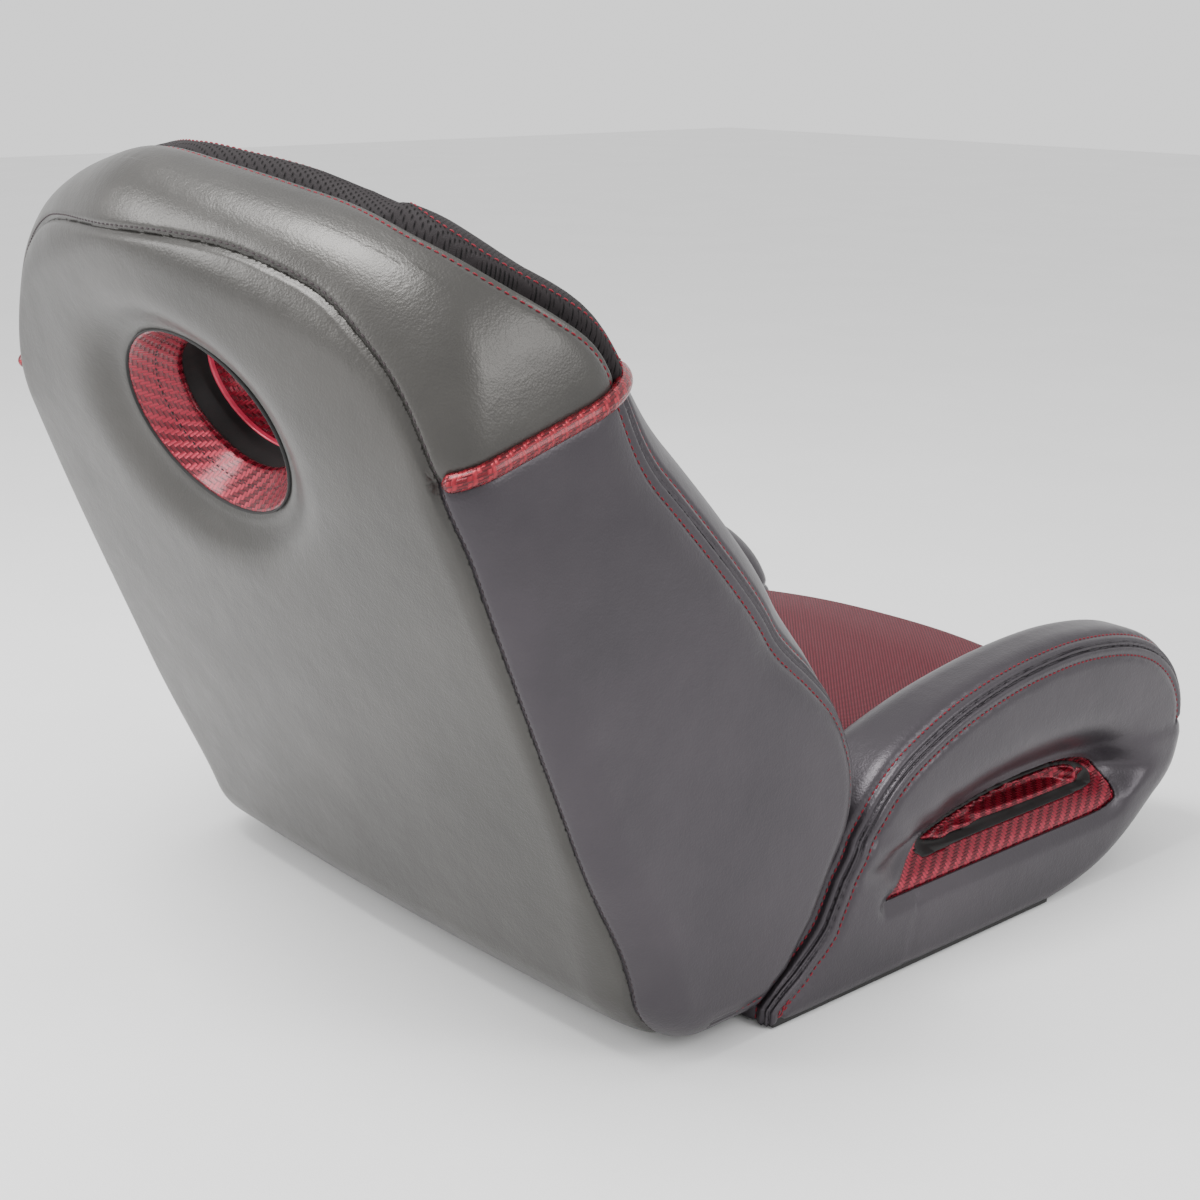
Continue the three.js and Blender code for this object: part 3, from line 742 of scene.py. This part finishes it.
def dot_vinyl(name, dark, light):
    """Burgundy vinyl embossed with a fine diagonal grid of dots."""
    n = Nodes(name)
    place = n.place()
    sheet = n.add("ShaderNodeUVMap", uv_map="surface_mm").outputs["UV"]
    turn = n.add("ShaderNodeMapping", Rotation=(0.0, 0.0, math.radians(45)), Vector=sheet)
    waves = [n.math("SINE", n.times(v, 2 * math.pi / 0.0052)) for v in n.split(turn.outputs[0])[:2]]
    dots = n.times(waves[0], waves[1])
    pit = n.math("SMOOTH_MAX", n.math("ABSOLUTE", dots), 0.25, 0.2)
    # painted shade: darker where the embossing sinks between the dots
    colour = n.colours(pit, [(0.25, dark), (0.7, light)])
    soft = n.bump(n.noise(place, 30.0, 3.0), 0.004, 0.14)
    grain = n.bump(n.cells(place, 900.0), 0.0003, 0.4, soft)
    normal = n.bump(pit, 0.0011, 0.85, grain)
    return n.finish(colour, n.plus(n.times(pit, -0.14), 0.64), normal, 0.0,
                    Specular_IOR_Level=0.24)


def mesh_cloth(name, cell=0.0036):
    """Black spacer mesh: round holes in a staggered grid, painted nearly black as the shade inside them."""
    n = Nodes(name)
    place = n.place()
    x, y, z = n.split(place)
    u = n.math("DIVIDE", x, cell)
    v = n.math("DIVIDE", n.plus(y, n.times(z, 0.25)), cell * 0.62)
    row = n.math("FLOOR", v)
    shift = n.times(n.math("FLOORED_MODULO", row, 2.0), 0.5)
    fu, fv = n.in_cell(n.plus(u, shift)), n.in_cell(v)
    far = n.math("SQRT", n.plus(n.times(fu, fu), n.times(fv, fv)))
    hole = n.minus(1.0, n.math("SMOOTH_MIN", n.times(far, 3.0), 1.0, 0.2), clamp=True)
    solid = n.minus(1.0, hole)
    # painted shade: the holes near black, the threads around them lighter
    colour = n.colours(solid, [(0.2, (0.001, 0.001, 0.001)), (0.8, (0.013, 0.010, 0.011))])
    thread = n.bump(n.noise(place, 1300.0, 2.0), 0.0004, 0.6)
    return n.finish(colour, n.plus(n.times(solid, -0.2), 0.85),
                    n.bump(solid, 0.001, 0.9, thread), 0.0, Specular_IOR_Level=0.2)


def thread_material(name, colour, dark):
    n = Nodes(name)
    twist = n.noise(n.place(), 2600.0, 2.0)
    return n.finish(n.colours(twist, [(0.3, dark), (0.7, colour)]), n.plus(twist, 0.2),
                    n.bump(twist, 0.0002, 0.8), 0.0, Specular_IOR_Level=0.3)


def plain(name, dark, light, rough, spread, metallic=0.0, scale=60.0, grain=900.0, depth=0.0003, **more):
    n = Nodes(name)
    place = n.place()
    wear = n.noise(place, scale, 5.0, 0.62)
    fine = n.noise(place, grain, 2.0)
    rough_now = n.plus(n.times(wear, spread), rough - spread * 0.5)
    return n.finish(n.colours(wear, [(0.32, dark), (0.68, light)]), rough_now,
                    n.bump(fine, depth, 0.5), metallic, **more)


def foam_material(name):
    n = Nodes(name)
    place = n.place()
    pores = n.cells(place, 700.0)
    tone = n.colours(n.noise(place, 14.0, 4.0), [(0.3, (0.55, 0.46, 0.24)), (0.7, (0.68, 0.60, 0.36))])
    return n.finish(tone, n.plus(n.times(pores, 0.2), 0.78), n.bump(pores, 0.0012, 0.7))


def ply_material(name):
    n = Nodes(name)
    place = n.place()
    stretch = n.add("ShaderNodeMapping", Scale=(1.0, 16.0, 16.0), Vector=place)
    grain = n.noise(stretch.outputs[0], 14.0, 6.0, 0.65)
    colour = n.colours(grain, [(0.3, (0.30, 0.17, 0.075)), (0.52, (0.46, 0.30, 0.15)),
                               (0.72, (0.60, 0.43, 0.25))])
    return n.finish(colour, n.plus(n.times(grain, 0.25), 0.38), n.bump(grain, 0.0006, 0.4))


GREY = vinyl("grey_vinyl", (0.047, 0.045, 0.042), (0.063, 0.060, 0.056), 0.60)
# painted shade: a darker copy of the same grey vinyl, for the side panels, bolsters, bottom roll and base
GREY_SHADED = vinyl("grey_vinyl_side", (0.036, 0.031, 0.037), (0.049, 0.042, 0.049), 0.54, 0.36)
BURGUNDY = dot_vinyl("red_vinyl", (0.035, 0.0015, 0.005), (0.150, 0.008, 0.020))
TWILL = twill("red_twill", (0.33, 0.012, 0.034), (0.050, 0.001, 0.005), 0.0034)
TWILL_FINE = twill("red_twill_welt", (0.30, 0.010, 0.022), (0.05, 0.001, 0.004), 0.0028)
# painted highlight: a brighter red for the lit lip of the front bezel's inner edge
EDGE_HIGHLIGHT_RED = plain("red_edge", (0.42, 0.02, 0.05), (0.60, 0.05, 0.10), 0.3, 0.1, 0.2)
MESH = mesh_cloth("black_mesh")
TRIM = plain("black_trim", (0.006, 0.006, 0.006), (0.013, 0.012, 0.012), 0.7, 0.2)
PLASTIC = plain("black_plastic", (0.016, 0.016, 0.017), (0.028, 0.028, 0.029), 0.5, 0.2, scale=90.0)
FOAM = foam_material("foam")
PLY = ply_material("plywood")
STEEL = plain("black_steel", (0.014, 0.014, 0.016), (0.026, 0.026, 0.029), 0.42, 0.16, 0.5, 30.0, 1500.0)
ZINC = plain("zinc_steel", (0.42, 0.43, 0.44), (0.62, 0.62, 0.60), 0.34, 0.22, 0.95, 45.0, 1800.0, 0.0001)
NYLON = plain("nylon", (0.60, 0.58, 0.52), (0.70, 0.68, 0.62), 0.45, 0.15, scale=40.0)
THREAD = thread_material("burgundy_thread", (0.26, 0.012, 0.028), (0.09, 0.003, 0.008))
THREAD_DARK = thread_material("dark_thread", (0.06, 0.045, 0.05), (0.02, 0.014, 0.016))


# ---- cutting a surface into covers ----
def sewn_surface(field, low, high, seams, band=15.0):
    """The field's surface, finer within band of the seams and cut along them, with its normals."""
    points, quads = surface_net(field, low, high, GRID)
    points, _ = settle(field, points)
    near = np.zeros(len(points), bool)
    for seam in seams:
        near |= np.abs(seam(*points.T)) < band
    points, tris = refine(points, quads, near, SEAM_CUTS)
    points, _ = settle(field, points, 2)
    for seam in seams:
        points, tris = cut(points, tris, seam)
    points, normals = settle(field, points, 1)
    return points, tris, normals


def across_surface(seam, points, normals):
    """Signed distance from a seam measured in the surface."""
    g = square_to(gradient(seam, points), normals)
    return seam(*points.T) / np.clip(np.linalg.norm(g, axis=1), 0.45, 3.0)


def double_seam(t):
    """Relief across a seam with a stitch line on either side, at the distance t."""
    a = np.abs(t)
    return (-1.5 * bell(a - SEAM_OFFSET, 2.4) - 2.6 * bell(a - 2.1, 1.1)
            + 0.9 * np.exp(-(a / 7.5) ** 4) - 0.8 * bell(a, 22.0))


def single_seam(t, depth=2.6, width=3.2):
    """Relief across a plain seam at the distance t."""
    return -depth * bell(t, width) - 0.5 * depth * np.exp(-np.abs(t) / 11.0)


def soft_noise(points, size, seed):
    """Slow random swells, as stuffing gives a cover."""
    turn = np.random.default_rng(seed)
    total = np.zeros(len(points))
    for _ in range(9):
        direction = turn.normal(size=3)
        direction /= np.linalg.norm(direction) * size * turn.uniform(0.7, 1.6)
        total += np.sin(points @ direction * 2 * math.pi + turn.uniform(0, 6.28))
    return total / 4.0


def covers(points, tris, labels, body, plan):
    """One padded piece for each node in the plan, a list of (material, slot, names of nodes)."""
    for material, slot, names in plan:
        for name in names:
            used, rows = submesh(tris, labels == name)
            uv = np.stack([points[used, 0], to_lean(points[used, 1], points[used, 2])[0]], 1)
            piece = make_piece(name + "_cover", points[used], rows, material, body, uv, SHELL)
            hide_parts(name)


# ---- the backrest ----
points, tris, normals = sewn_surface(
    back_field, (-312.0, 92.0, -6.0), (312.0, 552.0, 640.0),
    [rear_seam, crest_seam, welt_plane, insert_edge, hole_edge, crevice, facing])
t_rear, t_crest, t_welt, t_insert, t_hole, t_crevice = (
    across_surface(f, points, normals)
    for f in (rear_seam, crest_seam, welt_plane, insert_edge, hole_edge, crevice))
front_now = facing(*points.T) > 0
on_front = front_now * 1.0
above = ramp(t_welt, -4, 4)

# how far the mesh insert stands proud, by its distance from the middle
PROUD_X, PROUD_MM = (0, 50, 110, 150, 185, 235, 300), (5.0, 7.0, 11.5, 13.0, 10.0, 2.5, 1.5)
roll = np.zeros(len(points))
roll += (1 - on_front) * single_seam(t_rear, 2.8)
roll += on_front * (1 - above) * double_seam(t_crest)
roll += on_front * above * (single_seam(t_crest, 5.0, 3.6) - 1.2 * bell(t_crest + 10.0, 2.4))
outside_insert = np.where(front_now, np.minimum(t_crest, 30.0), -30.0)
in_insert = on_front * ramp(np.minimum(t_insert, outside_insert), 0, 10)
roll += np.interp(np.abs(points[:, 0]), PROUD_X, PROUD_MM) * in_insert
roll += on_front * (t_crest > 0) * (1 - above) * single_seam(t_insert, 4.0, 3.4)
side_zone = np.where(front_now, t_crest < 4, t_rear > -4)
roll += side_zone * single_seam(t_welt, 2.2, 6.0)
roll += on_front * (t_crevice > -14) * (1 - above) * single_seam(t_crevice, 4.0, 5.0)
roll += (1 - on_front) * -1.6 * bell(t_hole, 3.0)
in_lumbar = on_front * (t_insert < 0) * (t_crevice > 0) * ramp(t_crevice, 0, 40)
roll += in_lumbar * 7.0 * ramp(-t_insert, 0, 45) * ramp(to_lean(*points.T[1:])[0], -70, 0)
roll += 0.55 * soft_noise(points, 210.0, 3)
places = points + normals * roll[:, None]

centre = points[tris].mean(1)
c_front = facing(*centre.T) > 0
c_rear, c_crest, c_welt, c_insert, c_crevice = (
    f(*centre.T) for f in (rear_seam, crest_seam, welt_plane, insert_edge, crevice))
c_s, _ = to_lean(*centre.T[1:])
near_side = centre[:, 0] < 0
is_side = np.where(c_front, c_crest < 0, c_rear > 0)
labels = np.where(near_side, "bolster_right", "bolster_left").astype(object)
labels[c_front & (c_crevice > 0)] = "lumbar_pad"
labels[c_front & (c_crevice > 0) & (c_s < ROLL_SEAM_S)] = "bottom_roll"
labels[c_front & (c_insert > 0)] = "shoulder_insert"
labels[~c_front] = "back_panel"
labels[is_side & near_side] = "side_panel_right"
labels[is_side & ~near_side] = "side_panel_left"
labels[is_side & (c_welt > 0)] = "top_band"
labels[(hole_edge(*centre.T) < 0) & ~is_side] = "opening"

covers(places, tris, labels, "backrest", [
    (GREY, "grey_vinyl", ("back_panel", "top_band")),
    (GREY_SHADED, "grey_vinyl", ("side_panel_right", "side_panel_left", "bolster_right", "bolster_left")),
    (BURGUNDY, "red_vinyl", ("lumbar_pad",)),
    (GREY_SHADED, "grey_vinyl", ("bottom_roll",)),
    (MESH, "black_mesh", ("shoulder_insert",)),
])

back_normal = normals_of(back_field)
side_tri = np.isin(labels, ["side_panel_right", "side_panel_left", "top_band"])
bolster_tri = np.isin(labels, ["bolster_right", "bolster_left"])
insert_tri = labels == "shoulder_insert"
band_tri = labels == "top_band"
surface = places, tris, back_field
seam_stitches("bolster_stitching", surface, [
    (t_crest, -SEAM_OFFSET, side_tri & c_front & ~band_tri), (t_crest, SEAM_OFFSET, bolster_tri),
    (t_crest, -10.0, band_tri & c_front)], "backrest", THREAD)
seam_stitches("insert_stitching", surface, [
    (t_crest, 11.0, insert_tri), (t_insert, 9.0, insert_tri & (c_crest > 12))],
    "backrest", THREAD)
seam_stitches("rear_stitching", surface, [(t_rear, 3.2, side_tri & ~c_front)], "backrest", THREAD_DARK,
              0.1)


# ---- welts at the shoulders ----
def tube_mesh(path, normals_at, radius, sides=16):
    """A round cord along the path with rounded ends. Its uv twists along it, as a wound cover does."""
    tangent = unit(np.gradient(path, axis=0))
    normal = unit(square_to(normals_at(path), tangent))
    across = np.cross(tangent, normal)
    along = distances(path)
    verts, uv, faces = [], [], []
    for i, (p, n, a) in enumerate(zip(path, normal, across)):
        close = min(along[i], along[-1] - along[i])
        fat = radius * (math.sqrt(max(0.05, 1 - (1 - min(close / radius, 1)) ** 2)))
        for k in range(sides + 1):
            w = 2 * math.pi * k / sides
            verts.append(p + fat * (n * math.cos(w) + a * math.sin(w)))
            uv.append((along[i] + k * 0.75, k * 2 * math.pi * radius / sides))
    m = sides + 1
    for i in range(len(path) - 1):
        faces += [(i * m + k, i * m + k + 1, (i + 1) * m + k + 1, (i + 1) * m + k) for k in range(sides)]
    faces.append(tuple(reversed(range(sides))))
    faces.append(tuple((len(path) - 1) * m + k for k in range(sides)))
    return verts, faces, uv


welt_tri = np.where(c_front, c_crest < 40, c_rear > 4)
for side, name in ((-1, "welt_right"), (1, "welt_left")):
    mine = welt_tri & (centre[:, 0] * side > 0)
    chains = level_lines(points, tris, welt_plane(*points.T), 0.0, mine)
    chain = max(chains, key=len)
    path = even_steps(chain, 2.0, 12)
    path = path - back_normal(path) * 1.0
    verts, faces, uv = tube_mesh(path, back_normal, WELT_RADIUS)
    piece = make_piece(name + "_cord_cover", verts, faces, TWILL_FINE, "backrest", uv)
    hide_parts(name)


# ---- the opening through the backrest ----
def tunnel_piece(name, profile, material, node=None, steps=160):
    """A ring of covered trim. Its profile is (share of the opening's size, depth o)."""
    turn = np.arange(steps + 1) / steps * 2 * math.pi
    mean = math.sqrt((HOLE_A ** 2 + HOLE_B ** 2) / 2)
    across = distances(np.array(profile) * (HOLE_MEAN, 1.0))
    verts, uv = [], []
    for w in turn:
        for (share, o), v in zip(profile, across):
            y, z = lean_point(HOLE_S + HOLE_B * share * math.sin(w), o)
            verts.append((HOLE_A * share * math.cos(w), y, z))
            uv.append((w * mean, v))
    m = len(profile)
    faces = [(i * m + j, (i + 1) * m + j, (i + 1) * m + j + 1, i * m + j + 1)
             for i in range(steps) for j in range(m - 1)]
    piece = make_piece(name, verts, faces, material, "backrest", uv)
    if node:
        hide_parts(node)


tunnel_piece("rear_bezel_cover", [
    (1.02, -22.5), (1.0, -19.6), (0.985, -18.8), (0.97, -19.8), (0.90, -26.5), (0.80, -37.0), (0.735, -42),
    (0.715, -44.5), (0.715, -47), (0.74, -49)], TWILL, "rear_bezel")
tunnel_piece("tunnel_liner_cover", [
    (0.76, -46), (0.755, -52), (0.76, -60), (0.757, -70), (0.74, -76), (0.70, -77)],
    TRIM, "tunnel_liner")
tunnel_piece("front_bezel_cover", [
    (0.735, -73), (0.715, -70), (0.695, -69.2), (0.68, -71), (0.672, -76), (0.67, -90), (0.68, -108),
    (0.72, -122), (0.80, -131), (0.92, -135), (1.03, -134)], TWILL, "front_bezel")
# a thin piping on the front bezel's lip, coloured brighter red as a painted highlight
tunnel_piece("tunnel_edge_piping", [
    (0.716, -70.4), (0.706, -68.6), (0.692, -67.8), (0.680, -69), (0.677, -71.5)], EDGE_HIGHLIGHT_RED)
tunnel_piece("tunnel_rim_cord", [
    (1.014, -21.5), (1.014, -18.6), (1.005, -17.0), (0.994, -17.2), (0.986, -19.6)], TRIM)


def ellipse_row(share, o, count=260):
    turn = np.linspace(0, 2 * math.pi, count)
    y, z = lean_point(HOLE_S + HOLE_B * share * np.sin(turn), np.full(count, o))
    return np.stack([HOLE_A * share * np.cos(turn), y, z], 1)


def ring_normal(p):
    rise = (to_lean(*p.T[1:])[0] - HOLE_S) / HOLE_B
    inward = np.stack([-p[:, 0] / HOLE_A, -rise * SIN, -rise * COS], 1)
    return unit(unit(inward) * 0.6 + np.array([0, COS, -SIN]) * 0.8)


stitches("bezel_stitching", [ellipse_row(0.845, -32.6)], ring_normal, "backrest", THREAD_DARK)


# ---- the base ----
points, tris, normals = sewn_surface(base_field, (-312.0, -346.0, -4.0), (312.0, 216.0, 236.0),
                                     [wing_seam, slot_edge, front_seam])
t_wing, t_slot, t_front = (across_surface(f, points, normals) for f in (wing_seam, slot_edge, front_seam))
x, y, z = points.T
cross = np.abs(x)
roll = (cross > 240) * double_seam(t_wing)
roll += (cross <= 240) * single_seam(t_wing, 2.0) * (y < -250)
roll += (y < -200) * (t_wing < 0) * single_seam(t_front, 2.2)
roll += (cross > 240) * -1.2 * bell(t_slot, 2.6)
roll += 0.5 * soft_noise(points, 190.0, 5)
# gathers at the front tip of the finger slot
tip = np.exp(-(((y - 20) / 75) ** 2 + ((z - 112) / 26) ** 2))
roll += (cross > 215) * 0.8 * tip * np.sin((y * 0.8 - z) / 6.5)
places = points + normals * roll[:, None]
centre = points[tris].mean(1)
c_wing, c_slot, c_cross = wing_seam(*centre.T), slot_edge(*centre.T), np.abs(centre[:, 0])
near_side = centre[:, 0] < 0
c_normal = normals[tris].mean(1)
labels = np.full(len(tris), "front_panel", object)
on_side = (c_wing < 0) & (c_cross > WING_SEAM_X)
on_top = (c_wing >= 0) & (c_cross > WING_FOOT_X)
for mine, tail in ((near_side, "_right"), (~near_side, "_left")):
    labels[on_side & mine] = "wing_side" + tail
    labels[on_top & mine] = "wing_top" + tail
# what the cushion, the slots' lining and the base pan take the place of
hidden = (c_cross < 205) & (centre[:, 1] > -296) & (centre[:, 2] > 60)
hidden |= (c_slot < 0) & (c_cross > 240)
hidden |= (c_normal[:, 2] < -0.9) & (centre[:, 2] < 8) & (c_cross < 284)
hidden |= (centre[:, 1] > 60) & (c_cross < WING_FOOT_X)
labels[hidden] = "none"
covers(places, tris, labels, "base", [
    (GREY_SHADED, "grey_vinyl",
     ("front_panel", "wing_side_right", "wing_side_left", "wing_top_right", "wing_top_left"))])

wing_side = np.isin(labels, ["wing_side_right", "wing_side_left"])
wing_top = np.isin(labels, ["wing_top_right", "wing_top_left"])
inner_wall = wing_top & (c_cross < 232) & (centre[:, 1] > -290) & (centre[:, 1] < 60)
surface = places, tris, base_field
seam_stitches("wing_stitching", surface, [
    (t_wing, -SEAM_OFFSET, wing_side), (t_wing, SEAM_OFFSET, wing_top & (c_cross > WING_SEAM_X))],
    "base", THREAD)
seam_stitches("wing_inner_stitching", surface, [(z, 153.0, inner_wall)], "base", THREAD)


# ---- finger slots in the wings ----
OVERLAP, LEDGE, GROOVE = 3.0, 15.0, 19.5     # lining outside the rim, ledge and groove inside it
SLOT_TOP_Y, SLOT_TOP_Z = (-240, -212, -160, -76, 4, 40, 66), (80, 104, 108, 103, 86, 72, 62)


def rim_distance(y, z):
    """Distance inside the slot's rim, run faster under the upper edge, where the ledge is narrow."""
    d = -slot_profile(y, z)
    height = (z - 60.0) / (np.interp(y, SLOT_TOP_Y, SLOT_TOP_Z) - 59.0)
    return np.where(d > 0, d / blend(1.0, 0.36, ramp(height, 0.35, 0.85)), d)


def slot_depth(d, y, z):
    """How far inside the side face the slot's lining lies, d inside the rim."""
    start = slot_dish(y, z)
    ledge = start + 0.5 + 7.0 * ramp(d, -2, LEDGE)
    lip = blend(ledge, 36.0, ramp(d, LEDGE, GROOVE))
    lip = lip - 7.0 * bell(d - GROOVE - 2.0, 1.6)
    return np.where(d < LEDGE, ledge, lip) + 16.0 * ramp(d, GROOVE + 3, GROOVE + 9)


grid_y, grid_z = np.meshgrid(np.arange(-244, 76, LINING_GRID), np.arange(52, 126, LINING_GRID),
                             indexing="ij")
flat = np.stack([np.zeros(grid_y.size), grid_y.ravel(), grid_z.ravel()], 1)
ny, nz = grid_y.shape
index = np.arange(ny * nz).reshape(ny, nz)
a, b, c, d = (index[:-1, :-1].ravel(), index[1:, :-1].ravel(), index[1:, 1:].ravel(), index[:-1, 1:].ravel())
cells = np.vstack([np.stack([a, b, c], 1), np.stack([a, c, d], 1)])
for level in (-OVERLAP, LEDGE, GROOVE):
    flat, cells = cut(flat, cells, lambda x, y, z: rim_distance(y, z) - level)
deep = rim_distance(flat[:, 1], flat[:, 2])
inner = deep[cells].mean(1)
lining = {
    "slot_bezel": (inner > -OVERLAP) & (inner < LEDGE),
    "slot_sleeve": (inner > LEDGE) & (inner < GROOVE),
    "slot_cup": inner > GROOVE,
}
depth = slot_depth(deep, flat[:, 1], flat[:, 2]) + 1.2 * np.exp(-np.maximum(deep, 0) / 0.8)
for side, tail in ((-1, "_right"), (1, "_left")):
    body_points = np.stack([side * (HALF_WIDTH - depth), flat[:, 1], flat[:, 2]], 1)
    for name, pick in lining.items():
        used, rows = submesh(cells, pick)
        if side < 0:
            rows = rows[:, ::-1]
        uv = np.stack([flat[used, 1], flat[used, 2] + depth[used]], 1)
        material, slot = (TRIM, "black_trim") if name == "slot_sleeve" else (TWILL, "red_twill")
        piece = make_piece(name + tail + "_cover", body_points[used], rows, material, "base", uv,
                           LINING_SHELL)
        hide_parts(name + tail)


# ---- the cushion ----
points, tris, normals = sewn_surface(cushion_field, (-216.0, -326.0, 104.0), (216.0, 254.0, 172.0),
                                     [cushion_seam], 14.0)
t_seam = across_surface(cushion_seam, points, normals)
up = ramp(normals[:, 2], 0.2, 0.8)
roll = up * (single_seam(t_seam, 3.4, 2.8) + 0.8 * soft_noise(points, 150.0, 11))
x = points[:, 0]
gather = np.exp(-np.abs(t_seam) / 14.0) * np.sin(x / 9.0 + 1.3 * np.sin(x / 31.0))
roll += up * 0.35 * gather
places = points + normals * roll[:, None]
seat = make_piece("seat_cushion_cover", places, tris, BURGUNDY, "base", points[:, :2])
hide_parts("seat_cushion")

flat_tri = normals[tris].mean(1)[:, 2] > 0.5
seam_stitches("cushion_stitching", (places, tris, cushion_field), [
    (t_seam, 4.0, flat_tri), (t_seam, -4.0, flat_tri)], "base", THREAD)


# ---- foam under the covers ----
def foam_piece(node, field, low, high):
    points, quads = surface_net(field, low, high, 7.0)
    points, normals = settle(field, points)
    points = points + normals * (0.7 * soft_noise(points, 40.0, 21))[:, None]
    piece = make_piece(node + "_pad", points, quads, FOAM, "base")
    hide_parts(node)


def wing_foam_field(x, y, z):
    shape = base_field(x, y, z) + 13.0
    cup = both(slot_profile(y, z) - 8.0, 232.0 - np.abs(x), 4.0)
    shape = both(shape, -cup, 6.0)
    return both(both(shape, 122.0 - z, 6.0), 226.0 - np.abs(x), 6.0)


def seat_foam_field(x, y, z):
    block = both(np.abs(x) - 190.0, both(y - 196.0, -286.0 - y, 10.0), 12.0)
    under = both(z - 107.0, 44.0 - z, 6.0)
    return both(both(block, under, 8.0), wing_profile(y, z) + 14.0, 8.0)


foam_piece("wing_foam_right", lambda x, y, z: both(wing_foam_field(x, y, z), x, 1.0),
           (-306.0, -326.0, 100.0), (-200.0, 170.0, 214.0))
foam_piece("wing_foam_left", lambda x, y, z: both(wing_foam_field(x, y, z), -x, 1.0),
           (200.0, -326.0, 100.0), (306.0, 170.0, 214.0))
foam_piece("base_foam", seat_foam_field, (-200.0, -320.0, 30.0), (200.0, 210.0, 116.0))


# ---- finishes of the parts that show their own shape ----
FINISH = {
    "back_board": PLY, "frame_hoop": STEEL, "frame_crossbar_lower": STEEL, "frame_crossbar_upper": STEEL,
    "base_pan": PLASTIC, "hinge_arm": STEEL, "hinge_bracket": STEEL, "hinge_bush": NYLON, "stop_pin": ZINC,
    "pivot_bolt": ZINC, "pivot_nut": ZINC, "pivot_washer": ZINC, "threaded_insert": ZINC, "edge_trim": TRIM,
}
for name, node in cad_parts.items():
    for start, material in FINISH.items():
        if name.startswith(start):
            node.data.materials.clear()
            node.data.materials.append(material)


# ---- studio ----
FLOOR_HALF, FLOOR_Z = 9.0, -0.0015           # metres, as all lengths below
floor_mesh = bpy.data.meshes.new("studio_floor")
corners = [(FLOOR_HALF * i, FLOOR_HALF * j, FLOOR_Z) for i, j in ((-1, -1), (1, -1), (1, 1), (-1, 1))]
floor_mesh.from_pydata(corners, [], [(0, 1, 2, 3)])
floor = linked("studio_floor", floor_mesh)
floor_mesh.materials.append(plain("pale_floor", (0.80, 0.80, 0.80), (0.83, 0.83, 0.83), 0.75, 0.1, scale=3.0))

world = bpy.data.worlds.new("studio")
world.use_nodes = True
background = world.node_tree.nodes["Background"]
background.inputs["Color"].default_value = (1.0, 1.0, 1.0, 1.0)
background.inputs["Strength"].default_value = 1.25
bpy.context.scene.world = world


def placed(thing, right, up, back, place):
    thing.matrix_world = Matrix([(right[i], up[i], back[i], place[i]) for i in range(3)] + [(0, 0, 0, 1)])


def softbox(name, place, aim, size, power):
    data = bpy.data.lights.new(name, "AREA")
    data.shape = "RECTANGLE"
    data.size, data.size_y = size
    data.energy = power
    back = np.array(place) - np.array(aim)
    back /= np.linalg.norm(back)
    right = np.cross((0, 0, 1), back)
    right /= np.linalg.norm(right)
    placed(linked(name, data), right, np.cross(back, right), back, place)


softbox("overhead", (0.1, 1.0, 2.3), (0.0, 0.3, 0.4), (1.1, 0.8), 60)
softbox("rear_left", (1.1, 2.2, 1.3), (0.0, 0.4, 0.4), (0.7, 1.2), 40)
softbox("side_fill", (-2.2, -0.6, 1.7), (-0.2, 0.1, 0.2), (0.9, 1.2), 26)

camera_data = bpy.data.cameras.new("photo_camera")
camera_data.sensor_width = 36.0
camera_data.lens = 58.29
camera = linked("photo_camera", camera_data)
RIGHT = (-0.657560, -0.753386, 0.004981)
UP = (0.216826, -0.182907, 0.958922)
BACK = (-0.721527, 0.631629, 0.283626)
placed(camera, RIGHT, UP, BACK, (-1.16544, 1.11420, 0.69559))
bpy.context.scene.camera = camera
